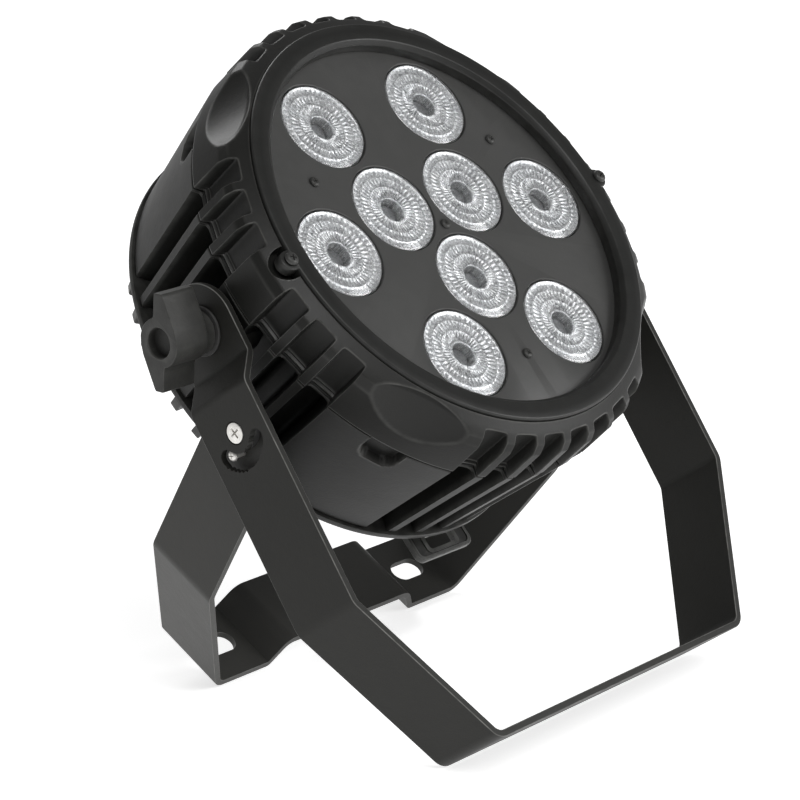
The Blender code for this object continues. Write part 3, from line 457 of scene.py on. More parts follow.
def optic_material():
    """Back of a moulded lens seen through its front: a near-white base paints its silvery reflections, and radial
    streaks of painted shade darken it towards the middle.
    """
    m, nt, b, tc = tree("lens_optic")
    v = tc.outputs["Object"]
    fine = noise(nt, v, 1500.0, 3.0, 0.6)
    mid = noise(nt, v, 260.0, 3.0, 0.6)
    fld = nt.nodes.new("ShaderNodeAttribute")
    fld.attribute_name = "streak"
    rad_ = nt.nodes.new("ShaderNodeAttribute")
    rad_.attribute_name = "reach"
    rays = noise(nt, fld.outputs["Vector"], 3.1, 3.0, 0.65)
    broad = noise(nt, fld.outputs["Vector"], 0.42, 2.0, 0.5)
    # painted shade: dark radial streaks, made stronger towards the middle of the lens by the reach ramp
    dark = mul(nt, ramp(nt, rays, 0.40, 0.62), ramp(nt, broad, 0.36, 0.58, 0.30, 1.0))
    dark = mul(nt, dark, ramp(nt, rad_.outputs["Fac"], 0.30, 0.92, 1.0, 0.35))
    # near-white is painted reflection of the clear optic, the dark colour is painted shade
    col = mixc(nt, dark, (0.98, 0.985, 0.99), (0.13, 0.133, 0.137))
    col = mixc(nt, mul(nt, ramp(nt, mid, 0.50, 0.66), 0.35), col, (0.42, 0.43, 0.44))
    nt.links.new(col, b.inputs["Base Color"])
    nt.links.new(ramp(nt, fine, 0.3, 0.7, 0.16, 0.34), b.inputs["Roughness"])
    nt.links.new(bump(nt, fine, 0.30, 0.0002, bump(nt, rays, 0.35, 0.0006)), b.inputs["Normal"])
    b.inputs["Metallic"].default_value = 0.45
    return m


def clear_material():
    m, nt, b, tc = tree("lens_clear_acrylic")
    v = tc.outputs["Object"]
    fine = noise(nt, v, 700.0, 2.0, 0.5)
    mid = noise(nt, v, 90.0, 2.0, 0.5)
    nt.links.new(mixc(nt, ramp(nt, mid, 0.3, 0.7), (0.985, 0.99, 0.995), (0.965, 0.975, 0.985)), b.inputs["Base Color"])
    nt.links.new(ramp(nt, fine, 0.3, 0.7, 0.0, 0.05), b.inputs["Roughness"])
    nt.links.new(bump(nt, fine, 0.03, 0.0002), b.inputs["Normal"])
    b.inputs["Transmission Weight"].default_value = 1.0
    b.inputs["IOR"].default_value = 1.49
    return m


def led_material():
    m, nt, b, tc = tree("lens_core")
    v = tc.outputs["Object"]
    fine = noise(nt, v, 1800.0, 3.0, 0.6)
    mid = noise(nt, v, 380.0, 3.0, 0.6)
    nt.links.new(mixc(nt, ramp(nt, mid, 0.3, 0.7), (0.24, 0.245, 0.25), (0.36, 0.365, 0.37)), b.inputs["Base Color"])
    nt.links.new(ramp(nt, fine, 0.3, 0.7, 0.22, 0.40), b.inputs["Roughness"])
    nt.links.new(bump(nt, fine, 0.2, 0.0002), b.inputs["Normal"])
    b.inputs["Metallic"].default_value = 0.35
    return m


M_OPTIC, M_CLEAR, M_CORE = optic_material(), clear_material(), led_material()

# ------------------------------------------------------------------ head: shared numbers
PITCH, HALF_SLOT = 8.6, 3.08
SEAM_Z, REAR_Z = 19.0, -44.5
LUG_R, RING_R = 102.4, 100.8
FACE_Z, LENS_R = 41.96, 21.0


def groove_set():
    out = []
    for c, pad in ((0, True), (90, False), (180, True), (270, False)):
        out += [c + k * PITCH for k in range(-3, 4) if not (pad and k == 0)]
    return sorted(a % 360 for a in out)


GROOVES = groove_set()


def head_angles(wall, lug=False):
    """Angles round the head, packed where groove walls stand."""
    a = set()
    for g in GROOVES:
        for d in (0.0, 1.1, 2.0, 2.55):
            a.update({g + d, g - d})
        for d in np.linspace(HALF_SLOT - wall - 0.12, HALF_SLOT + wall + 0.30, 7):
            a.update({g + d, g - d})
        a.update({g + 3.95, g - 3.95})
    gs = np.array(GROOVES)
    for x in np.arange(0, 360, 0.36):
        d = np.abs((gs - x + 180) % 360 - 180).min()
        if d > 4.15:
            a.add(float(x))
    if lug:
        for c in (0, 180):
            for x in np.arange(-6, 6.01, 0.25):
                a.add(c + float(x))
    v = np.array(sorted({round(x % 360, 4) for x in a}))
    keep = [v[0]]
    for x in v[1:]:
        if x - keep[-1] > 0.05:
            keep.append(x)
    return np.array(keep)


def slot_mask(th, wall):
    """1 on ribs and shoulders, 0 in the grooves, with a steep rounded wall between."""
    gs = np.array(GROOVES)[:, None]
    d = np.abs((gs - th[None] + 180) % 360 - 180).min(0)
    return sstep(d, HALF_SLOT - wall, HALF_SLOT + wall), d


def ring_rows(th, r, z):
    t = np.radians(th)
    r = np.broadcast_to(r, th.shape)
    z = np.broadcast_to(z, th.shape)
    return np.stack([r * np.cos(t), r * np.sin(t), z], 1)


# ------------------------------------------------------------------ front housing
TH = head_angles(0.17)
MASK, DIST = slot_mask(TH, 0.17)

FRONT_Z = [20.2, 38.0, 42.4, 44.4, 46.8]
FRONT_R = [112.3, 111.8, 109.6, 106.2, 101.2]


def front_profile(z):
    zz = np.linspace(14, 54, 4001)
    rr = np.interp(zz, [14.0] + FRONT_Z + [54.0], [112.48] + FRONT_R + [86.2])
    k = np.exp(-0.5 * (np.arange(-120, 121) * 0.01 / 0.42) ** 2)
    rs = np.convolve(np.pad(rr, 120, mode="edge"), k / k.sum(), "valid")
    return np.interp(z, zz, rs)


def scoop(th_off, z):
    d = np.radians(th_off)
    q = 70.1 ** 2 - (z - 73.6) ** 2 - (165.7 * np.sin(d)) ** 2
    r = 165.7 * np.cos(d) - np.sqrt(np.maximum(q, 0)) + 1.0 * sstep(z, 43.0, 46.8)
    # outside the ball's reach the surface leaves the cut smoothly
    return np.where(q > 0, r, 165.7 * np.cos(d) + (-np.minimum(q, 0)) * 0.02)


rows = []
zs = np.concatenate([[20.2, 20.28, 20.5, 20.8, 21.05, 21.3, 21.6, 21.85, 22.05, 22.3, 22.6], np.arange(23.2, 40.0, 0.55),
                     np.arange(40.0, 46.6, 0.28), [46.62]])
lip = {20.2: -0.75, 20.28: -0.42, 20.5: -0.12, 20.8: 0.0}
for z in zs:
    base = front_profile(z) * np.ones_like(TH)
    base = smin(base, scoop(TH % 90 - 45, z), 0.55)
    floor = 106.0 / np.cos(np.radians(np.minimum(DIST, 4.0))) + 0.45 * np.clip(DIST / 3.0, 0, 1) ** 8
    floor = floor + 0.95 * (sstep(z, 20.1, 20.5) - sstep(z, 21.1, 21.6)) + 0.45 * (1 - sstep(z, 22.3, 22.7))
    cut = smin(base, floor, 0.22)
    r = cut + (base - cut) * MASK
    r = r + lip.get(round(float(z), 2), 0.0)
    rows.append(ring_rows(TH, r, z - 0.95 * MASK * (1 - sstep(z, 20.2, 23.5))))
inner = [(101.2, 46.8), (101.2, 42.0), (96.4, 42.0), (96.4, 38.6), (92.0, 38.6), (92.0, 37.0), (98.0, 34.5), (98.0, 20.2)]
inner += [(105.0, 20.2)]
for r, z in [(101.36, 46.69), (101.20, 46.68), (101.05, 46.55), (101.05, 42.0)] + inner[2:]:
    rows.append(ring_rows(TH, r, z))
rows.append(ring_rows(TH, 105.2 + 2.9 * MASK, 20.2))
rows.append(ring_rows(TH, 105.3 + 3.1 * MASK, 20.2 - 0.80 * MASK))
front = grid_obj("vis_front_housing", rows, loop=True)
pockets = [at(turned("pk", [(0, 41.5), (6.6, 41.5), (7.15, 41.7), (7.4, 42.3), (7.5, 45.0), (8.2, 60.0), (0, 60.0)], 64), s * LUG_R, 0, 0)
           for s in (-1, 1)]
boolean(front, *pockets)
place(front, HEAD, "head", "front_housing", M_FRONT, "front_housing", sharp=48, wear_and_highlight=0.9)

# ------------------------------------------------------------------ retaining ring with two lugs
T2 = np.array(sorted({round(float(x), 3) for x in np.concatenate([np.arange(0, 360, 1.2)] +
                                                                 [c + np.arange(-4.2, 4.21, 0.12) for c in (0, 180, 360)]) % 360}))
off = np.radians((T2 + 90) % 180 - 90)
q = 4.6 ** 2 - (102.4 * np.sin(off)) ** 2
lug = np.where(q > 0, 102.4 * np.cos(off) + np.sqrt(np.maximum(q, 0)), 0)
rows = []
for r, z, use in [(100.6, 42.3, 0), (100.85, 42.55, 0), (100.92, 42.85, 0), (100.92, 42.95, 1), (100.92, 43.2, 2), (100.92, 45.6, 2), (100.92, 47.3, 2),
                  (100.92, 47.6, 3), (100.86, 47.85, 4), (100.62, 48.2, 0), (100.30, 48.42, 0), (99.9, 48.5, 0), (97.0, 48.5, 0), (93.0, 48.5, 0),
                  (92.55, 48.42, 0), (92.2, 48.15, 0), (90.9, 46.85, 0), (90.6, 46.5, 0), (90.5, 46.1, 0), (90.5, 42.3, 0)]:
    rr = np.full(len(T2), r)
    if use:
        rr = np.maximum(rr, lug + {1: -0.35, 2: 0.0, 3: -0.22, 4: -0.75}[use])
    rows.append(ring_rows(T2, rr, z))
ring = grid_obj("vis_front_ring", rows, loop=True)
place(ring, HEAD, "head", "front_ring", M_RING, "front_ring", sharp=38, wear_and_highlight=0.8)

# ------------------------------------------------------------------ lens panel
LENSES = [polar(67.0, 60 * k) for k in range(6)] + [polar(26.5, 30 + 120 * k) for k in range(3)]
FACE_SCREWS = [(0.0, 0.0)] + [polar(67.0, 30 + 120 * k) for k in range(3)]
panel = turned("vis_lens_panel", [(0, FACE_Z), (95.6, FACE_Z), (95.9, 41.85), (96.0, 41.6), (96.0, 38.95), (0, 38.95)], 192)
cutters = [at(turned("c", [(0, 30), (21.35, 30), (21.35, 41.45), (21.45, 41.7), (21.85, 42.1), (21.85, 50), (0, 50)], 96), x, y) for x, y in LENSES]
cutters += [at(turned("c", [(0, 30), (1.6, 30), (1.6, 41.8), (1.9, 42.1), (1.9, 50), (0, 50)], 24), x, y) for x, y in FACE_SCREWS]
boolean(panel, joined("cc", cutters))
place(panel, HEAD, "head", "lens_panel", M_PANEL, "lens_panel", sharp=30, wear_and_highlight=0.8, top=0.6)

# ------------------------------------------------------------------ lenses: bright fluted optic, round core, clear front
FLUTES = 44
t3 = np.linspace(0, 360, FLUTES * 8, endpoint=False)
prof = [(20.35, 41.15, 0.0, 0), (20.05, 41.02, 0.0, 0), (19.7, 40.75, 0.10, 0), (18.9, 40.45, 0.26, 0), (17.9, 40.30, 0.30, 0), (17.0, 40.35, 0.22, 0),
        (16.7, 40.55, 0.05, 0), (16.4, 40.62, 0.0, 0), (16.1, 40.50, 0.12, 1), (15.0, 40.28, 0.34, 1), (13.6, 40.12, 0.40, 1), (12.3, 40.16, 0.30, 1),
        (11.9, 40.34, 0.06, 1), (11.6, 40.38, 0.0, 1), (11.3, 40.24, 0.12, 0), (10.2, 40.02, 0.34, 0), (8.8, 39.92, 0.34, 0), (7.4, 39.98, 0.24, 0),
        (6.9, 40.14, 0.12, 0), (6.5, 40.36, 0.02, 0), (6.15, 40.46, 0.0, 0), (5.8, 40.40, 0.0, 0), (5.55, 40.1, 0.0, 0),
        (5.42, 39.4, 0.0, 0), (5.35, 36.6, 0.0, 0)]
optic_rows = []
for r, z, a, shift in prof:
    ph = np.radians(t3) * FLUTES / 2 + shift * math.pi / 2
    slow = 0.10 * np.sin(np.radians(t3) * 5 + r) + 0.08 * np.sin(np.radians(t3) * 11 - 0.7 * r)
    wob = a * (np.abs(np.sin(ph)) - 0.55) * (1 + slow)
    optic_rows.append(ring_rows(t3, r, z + wob))
under = [(5.35, 24.0), (9.0, 24.0), (14.0, 30.0), (19.6, 38.6), (20.35, 39.6)]
optic_rows = optic_rows + [ring_rows(t3, r, z) for r, z in under]
optic_bm = grid_obj("optic_src", optic_rows, loop=True)
# radial streaks follow this field: round the lens and out from its middle, without a seam
nv = len(optic_bm.data.vertices)
co3 = np.zeros(nv * 3)
optic_bm.data.vertices.foreach_get("co", co3)
co3 = co3.reshape(-1, 3)
rr3 = np.hypot(co3[:, 0], co3[:, 1]) + 1e-6
fld = np.stack([co3[:, 0] / rr3 * 7.0, co3[:, 1] / rr3 * 7.0, rr3 * 0.16], 1).astype(np.float32)
st = optic_bm.data.attributes.new("streak", "FLOAT_VECTOR", "POINT")
st.data.foreach_set("vector", fld.ravel())
rd = optic_bm.data.attributes.new("reach", "FLOAT", "POINT")
rd.data.foreach_set("value", (rr3 / 21.0).astype(np.float32))
core_src = turned("core_src", [(0, 37.0), (2.0, 36.95), (3.6, 36.7), (4.5, 36.4), (4.95, 36.0), (5.1, 35.4), (5.1, 24.2), (0, 24.2)], 64)
clear_src = turned("clear_src", [(0, 41.96), (12.0, 41.93), (19.8, 41.86), (20.5, 41.74), (20.88, 41.5), (20.95, 41.2), (20.6, 40.98),
                                 (20.0, 41.25), (12.0, 41.30), (0, 41.32)], 96)
rim_src = turned("rim_src", [(20.98, 41.1), (20.98, 41.45), (20.9, 41.3), (20.7, 41.0), (20.5, 40.6), (20.5, 39.9), (20.98, 39.9)], 96)
bpy.data.objects.remove(rim_src, do_unlink=True)
for k, (x, y) in enumerate(LENSES):
    body = "head"
    turn = Matrix.Rotation(rad(17.0 * k), 4, "Z")
    o = new_obj("vis_lens_%d_optic" % (k + 1), optic_bm.data.copy())
    place(o, HEAD @ Matrix.Translation((x * MM, y * MM, 0)) @ turn, body, "lens", M_OPTIC, sharp=60, wear_and_highlight=2.0)
    o = new_obj("vis_lens_%d_core" % (k + 1), core_src.data.copy())
    place(o, HEAD @ Matrix.Translation((x * MM, y * MM, 0)), body, "lens", M_CORE, sharp=40, wear_and_highlight=0.8)
    o = new_obj("vis_lens_%d_front" % (k + 1), clear_src.data.copy())
    place(o, HEAD @ Matrix.Translation((x * MM, y * MM, 0)), body, "lens", M_CLEAR, "lens_%d" % (k + 1), sharp=40, wear_and_highlight=0.8)
for o in (optic_bm, core_src, clear_src):
    bpy.data.objects.remove(o, do_unlink=True)

# ------------------------------------------------------------------ gasket
g = turned("vis_seam_gasket", [(107.0, 19.9), (107.3, 19.75), (107.4, 19.4), (107.3, 19.05), (107.0, 18.9), (100.0, 18.9), (100.0, 19.9)], 240)
place(g, HEAD, "head", "seam_gasket", M_GASKET, "seam_gasket", sharp=50)

# ------------------------------------------------------------------ rear housing
TOP_Z = SEAM_Z - 0.4
TH = head_angles(0.20)
MASK, DIST = slot_mask(TH, 0.20)
zs = np.concatenate([[18.6, 18.45, 18.15, 17.8, 17.45, 17.25, 17.05, 16.8, 16.2], np.arange(15.2, -41.0, -1.25),
                     [-41.8, -42.8, -43.4, -43.9, -44.2, -44.4, -44.5]])
rows = []
tang = np.radians(TH % 90 - 45) * 110.0       # mm round the shoulder from its middle
for z in zs:
    base = np.interp(z, [REAR_Z, TOP_Z], [103.0, 112.1]) * np.ones_like(TH)
    # thumb pocket under the seam in the middle of each shoulder, with a rounded lower end
    dx = np.maximum(np.abs(tang) - (8.5 - 6.0), 0)
    dz = np.maximum((5.6 + 6.0) - z, 0)
    inside = 6.0 - np.hypot(dx, dz)
    base = base - 4.3 * sstep(inside, -0.15, 1.05)
    core = np.full_like(TH, 89.0) / np.cos(np.radians(np.minimum(DIST, 4.0)))
    lipr = 107.2
    w = sstep(z, 17.0, 17.3)
    floor = core + (lipr - core) * w
    floor = floor + 1.6 * np.clip(DIST / 3.0, 0, 1) ** 6
    cut = smin(base, floor, 0.4)
    r = cut + (base - cut) * MASK
    if z > 18.0:
        r = r - {18.6: 0.55, 18.45: 0.20, 18.15: 0.0}.get(round(float(z), 2), 0.0)
    if z < -43.0:
        r = r - {-43.4: 0.05, -43.9: 0.2, -44.2: 0.45, -44.4: 0.8, -44.5: 1.2}.get(round(float(z), 2), 0.0) * MASK
    rows.append(ring_rows(TH, r, z))
rows += [ring_rows(TH, 86.5, REAR_Z), ring_rows(TH, 84.0, REAR_Z), ring_rows(TH, 84.0, 13.0), ring_rows(TH, 20.0, 13.0), ring_rows(TH, 20.0, TOP_Z),
         ring_rows(TH, 100.0, TOP_Z)]
rear = grid_obj("vis_rear_housing", rows, loop=True)
bosses = []
for s in (-1, 1):
    b = turned("boss", [(0, 96.0), (13.6, 96.0), (13.3, 112.6), (13.0, 113.7), (12.4, 114.2), (5.2, 114.2), (4.3, 113.4), (4.3, 104.0), (0, 104.0)], 64)
    if s < 0:
        moved(b, Matrix.Diagonal((1, 1, -1, 1)))
    bosses.append(moved(b, ALONG_X))
boolean(rear, *bosses, op="UNION")
place(rear, HEAD, "head", "rear_housing", M_REAR, "rear_housing", sharp=48, wear_and_highlight=0.9)

# ------------------------------------------------------------------ rear cover
cprof = [(103.9, -44.8), (104.2, -45.0), (104.3, -45.4), (104.3, -46.7), (104.1, -47.5), (103.4, -48.1), (102.4, -48.25), (95.2, -48.5), (93.9, -48.8),
         (93.0, -49.8), (91.2, -54.2), (90.4, -55.4), (89.0, -55.95), (87.5, -56.0), (86.3, -56.0), (85.9, -55.7), (85.3, -55.45), (84.7, -55.7), (84.3, -56.0),
         (60.0, -56.0), (20.0, -56.0), (0.5, -56.0)]
cth = np.linspace(0, 360, 300, endpoint=False)
rows = [ring_rows(cth, r, z) for r, z in [(0.5, -53.2), (20.0, -53.2), (80.0, -53.2), (80.0, -44.8)] + cprof]
cover = grid_obj("vis_rear_cover", rows, cap0=True, cap1=True)
# short feet behind the ends of the fins at the two sides
side = [(89.0, -47.4), (101.3, -47.4), (101.3, -50.6), (99.5, -56.9), (92.5, -56.9), (89.0, -54.5)]
side = fillet_loop(side, [0, 0, 1.2, 1.6, 1.0, 0], 5)
feet = []
for c in (0, 180):
    for k in range(-4, 4):
        t = c + (k + 0.5) * 8.6
        f = prism("foot", side, -2.3, 2.3, 0.5, 2)
        turn = Matrix((Vector((*polar(1.0, t), 0.0)), Vector((0, 0, 1)), Vector((*polar(1.0, t + 90), 0.0)))).transposed()
        f.data.transform(turn.to_4x4())
        bmf = bmesh.new()
        bmf.from_mesh(f.data)
        bmesh.ops.recalc_face_normals(bmf, faces=bmf.faces)
        bmf.to_mesh(f.data)
        bmf.free()
        feet.append(f)
boolean(cover, joined("feet", feet), op="UNION")
BUTTONS = [(-21.0, 10.0), (-7.0, 10.0), (7.0, 10.0), (21.0, 10.0)]
SOCKETS = {"power_inlet": (-50.0, -16.0), "power_outlet": (50.0, -16.0), "data_inlet": (-20.0, -38.0), "data_outlet": (20.0, -38.0)}
COVER_SCREWS = [polar(98.5, a) for a in (45, 135, 225, 315)]
field = prism("f", fillet_loop([(-33, 2.5), (33, 2.5), (33, 50.5), (-33, 50.5)], 4.0, 8), -60, -55.45)
cut = [box("d", (-19.3, 25.7, -70), (19.3, 44.3, -40), 0.0)]
cut += [at(turned("c", [(0, -70), (3.9, -70), (3.9, -40), (0, -40)], 32), x, y) for x, y in BUTTONS]
cut += [at(turned("c", [(0, -70), (10.9, -70), (10.9, -40), (0, -40)], 48), x, y) for x, y in SOCKETS.values()]
cut += [at(turned("c", [(0, -70), (2.0, -70), (2.0, -40), (0, -40)], 24), x, y) for x, y in COVER_SCREWS]
boolean(cover, field, *cut)
place(cover, HEAD, "head", "rear_cover", M_REAR, "rear_cover", sharp=34, wear_and_highlight=0.8, weighted=True)

# display, buttons, sockets
d = box("vis_display_window", (-19.0, 26.0, -56.5), (19.0, 44.0, -50.0), 0.5, 3)
boolean(d, prism("f", fillet_loop([(-16.6, 28.6), (16.6, 28.6), (16.6, 41.4), (-16.6, 41.4)], 0.8, 4), -60, -56.25))
place(d, HEAD, "head", "display_window", M_GLASSDARK, "display_window", sharp=30, wear_and_highlight=0.6)
segs = []
for k in range(4):
    cx = -12.0 + 8.0 * k
    h, w, t = 3.6, 2.1, 0.42
    for (ax, ay, bx, by) in [(-w, h, w, h), (-w, 0, w, 0), (-w, -h, w, -h), (-w, 0.2, -w, h - 0.2), (w, 0.2, w, h - 0.2), (-w, -h + 0.2, -w, -0.2), (w, -h + 0.2, w, -0.2)]:
        L = math.hypot(bx - ax, by - ay) / 2 - 0.30
        an = math.atan2(by - ay, bx - ax)
        pts = [(-L, 0), (-L + t, t), (L - t, t), (L, 0), (L - t, -t), (-L + t, -t)]
        o = prism("s", pts, -56.33, -56.15)
        moved(o, Matrix.Translation((cx + (ax + bx) / 2, 35 + (ay + by) / 2, 0)) @ Matrix.Rotation(an, 4, "Z"))
        segs.append(o)
place(joined("vis_display_digits", segs), HEAD, "head", "display_window", M_SEGMENT, sharp=30)

for k, (x, y) in enumerate(BUTTONS):
    b = turned("vis_menu_button_%d" % (k + 1), [(0, -57.45), (2.2, -57.5), (2.9, -57.6), (3.3, -57.45), (3.55, -57.1), (3.6, -56.6), (3.6, -52.9), (5.2, -52.9),
                                               (5.2, -51.5), (2.4, -51.5), (2.4, -47.6), (0, -47.6)], 48)
    mark = {0: [(-0.9, 0), (0.7, 1.0), (0.7, -1.0)], 1: [(-1.0, -0.6), (1.0, -0.6), (0, 0.9)], 2: [(-1.0, 0.6), (0, -0.9), (1.0, 0.6)],
            3: [(-0.8, -0.8), (0.8, -0.8), (0.8, 0.8), (-0.8, 0.8)]}[k]
    boolean(b, prism("m", mark, -60, -57.3))
    place(b, HEAD @ Matrix.Translation((x * MM, y * MM, 0)), "button_%d" % (k + 1), "menu_button", M_BUTTON, "menu_button_%d" % (k + 1), sharp=34)

for nm, (x, y) in SOCKETS.items():
    if nm.startswith("power"):
        s = turned("vis_" + nm, [(0, -55.4), (7.2, -55.4), (7.2, -58.3), (7.5, -58.6), (12.2, -58.6), (12.8, -58.35), (13.15, -57.8), (13.2, -57.3), (13.2, -56.3),
                                 (10.5, -56.3), (10.5, -39.0), (0, -39.0)], 72)
        keys = [moved(box("k", (6.5, -1.3, -60), (8.9, 1.3, -55.9)), Matrix.Rotation(rad(a), 4, "Z")) for a in (90, 205, 335)]
        slots = [moved(prism("k", fillet_loop(arc(0, 0, 4.9, -24, 24, 6) + arc(0, 0, 3.3, 24, -24, 6), 0.0), -60, -53.8), Matrix.Rotation(rad(a), 4, "Z"))
                 for a in (30, 150, 270)]
        boolean(s, *keys, *slots)
        place(s, HEAD @ Matrix.Translation((x * MM, y * MM, 0)), "head", "power_socket", M_BLUE if nm.endswith("inlet") else M_GREYPL, nm, sharp=34)
    else:
        s = turned("vis_" + nm, [(0, -55.4), (8.4, -55.4), (8.4, -57.9), (8.7, -58.2), (11.2, -58.2), (11.8, -57.95), (12.15, -57.4), (12.2, -56.3), (10.5, -56.3),
                                 (10.5, -41.0), (0, -41.0)], 72)
        key = box("k", (-1.4, 7.6, -60), (1.4, 9.6, -56.2))
        if nm.endswith("outlet"):
            holes = [at(turned("h", [(0, -60), (1.25, -60), (1.25, -53.6), (0, -53.6)], 24), *polar(4.6, a)) for a in (30, 150, 270)]
            boolean(s, key, *holes)
        else:
            boolean(s, key)
        place(s, HEAD @ Matrix.Translation((x * MM, y * MM, 0)), "head", "data_socket", M_DATA, nm, sharp=34)
        if nm.endswith("inlet"):
            pins = [at(turned("p", [(0, -57.9), (0.6, -57.85), (1.05, -57.5), (1.15, -57.0), (1.15, -55.2), (0, -55.2)], 24), *polar(4.6, a)) for a in (30, 150, 270)]
            place(joined("vis_data_inlet_pins", pins), HEAD @ Matrix.Translation((x * MM, y * MM, 0)), "head", "data_socket", M_PIN, sharp=40)

# ------------------------------------------------------------------ safety eye
E0, E1 = -59.3, -56.3
out = [(18.0, -110.5), (18.0, -76.0), (14.0, -72.0), (-14.0, -72.0), (-18.0, -76.0), (-18.0, -110.5)]
eye = prism("vis_safety_eye", fillet_loop(out, [4.0, 1.5, 1.5, 1.5, 1.5, 4.0], 8), E0, E1, 0.45, 3)
win = [(8.5, -106.5), (8.5, -100.0), (-8.5, -100.0), (-8.5, -106.5)]
wcut = prism("w", fillet_loop(win, 1.6, 6), -70, -50)
groove_o = prism("g", fillet_loop([(16.2, -108.7), (16.2, -78.0), (-16.2, -78.0), (-16.2, -108.7)], 2.6, 6), -56.75, -50)
land = prism("l", fillet_loop([(10.6, -108.2), (10.6, -97.9), (-10.6, -97.9), (-10.6, -108.2)], 2.4, 6), -58.9, E1 + 0.0)
boolean(eye, groove_o)
boolean(eye, land, op="UNION")
ecut = [at(turned("c", [(0, -70), (1.6, -70), (1.6, -50), (0, -50)], 24), s * 11.0, -82.0) for s in (-1, 1)]
boolean(eye, wcut, *ecut)
place(eye, HEAD, "head", "safety_eye", M_EYE, "safety_eye", sharp=30, wear_and_highlight=0.6)


# ------------------------------------------------------------------ screws
def cross_cutter(cr, top, dep):
    """Tapered four-wing recess."""
    w = cr * 0.17
    pts = [(w, w), (w, cr), (-w, cr), (-w, w), (-cr, w), (-cr, -w), (-w, -w), (-w, -cr), (w, -cr), (w, -w), (cr, -w), (cr, w)]
    bm = bmesh.new()
    up = [bm.verts.new((x * 1.25, y * 1.25, top + dep * 0.6)) for x, y in pts]
    dn = [bm.verts.new((x * 0.45, y * 0.45, top - dep)) for x, y in pts]
    bm.faces.new(up)
    bm.faces.new(dn[::-1])
    for i in range(12):
        j = (i + 1) % 12
        bm.faces.new((up[i], dn[i], dn[j], up[j]))
    return bm_obj("x", bm)


def screw(name, head_r, head_h, shank_r, length, flush=False, cross=None, knurl=False):
    cr = head_r * 0.60 if cross is None else cross
    if flush:
        prof = [(0, 0), (head_r - 0.25, 0), (head_r - 0.06, -0.08), (head_r, -0.25), (head_r - 0.05, -0.45), (shank_r, -head_h), (shank_r, -length), (0, -length)]
        top = 0.0
    else:
        prof = [(0, head_h), (head_r * 0.45, head_h * 0.97), (head_r * 0.72, head_h * 0.86), (head_r * 0.9, head_h * 0.62), (head_r, head_h * 0.3),
                (head_r, 0.06), (head_r - 0.08, 0), (shank_r, 0), (shank_r, -length), (0, -length)]
        top = head_h * 0.97
    o = turned(name, prof, 48)
    boolean(o, cross_cutter(cr, top, min(head_h * 0.75, cr * 0.8)))
    return o


def put_screw(src, name, m, body, slot, mat, node):
    o = new_obj(name, src.data.copy())
    return place(o, m, body, slot, mat, node, sharp=32, wear_and_highlight=0.7)


def T(x, y, z):
    return Matrix.Translation((x * MM, y * MM, z * MM))


FLIP = Matrix.Rotation(math.pi, 4, "X")
src = screw("s1", 2.4, 1.2, 1.25, 26.0)
for k, (x, y) in enumerate(FACE_SCREWS):
    put_screw(src, "vis_face_screw_%d" % (k + 1), HEAD @ T(x, y, FACE_Z + 0.3) @ Matrix.Rotation(rad(20 + 37 * k), 4, "Z"), "head", "black_screw", M_BLACKSTEEL,
              "face_screw_%d" % (k + 1))
bpy.data.objects.remove(src, do_unlink=True)
src = screw("s2", 3.1, 1.7, 1.55, 12.0)
for nm, s in (("ring_screw_left", -1), ("ring_screw_right", 1)):
    put_screw(src, "vis_" + nm, HEAD @ T(s * LUG_R, 0, 48.8) @ Matrix.Rotation(rad(25 * s), 4, "Z"), "head", "black_screw", M_BLACKSTEEL, nm)
bpy.data.objects.remove(src, do_unlink=True)
src = screw("s3", 3.4, 1.8, 1.65, 12.0)
for k, (x, y) in enumerate(COVER_SCREWS):
    put_screw(src, "vis_cover_screw_%d" % (k + 1), HEAD @ T(x, y, -48.95) @ FLIP @ Matrix.Rotation(rad(10 + 50 * k), 4, "Z"), "head", "black_screw", M_BLACKSTEEL,
              "cover_screw_%d" % (k + 1))
bpy.data.objects.remove(src, do_unlink=True)
src = screw("s4", 2.9, 1.5, 1.3, 5.4)
for nm, s in (("eye_screw_left", -1), ("eye_screw_right", 1)):
    put_screw(src, "vis_" + nm, HEAD @ T(s * 11.0, -82.0, E0 - 0.3) @ FLIP @ Matrix.Rotation(rad(33 * s), 4, "Z"), "head", "black_screw", M_BLACKSTEEL, nm)
bpy.data.objects.remove(src, do_unlink=True)


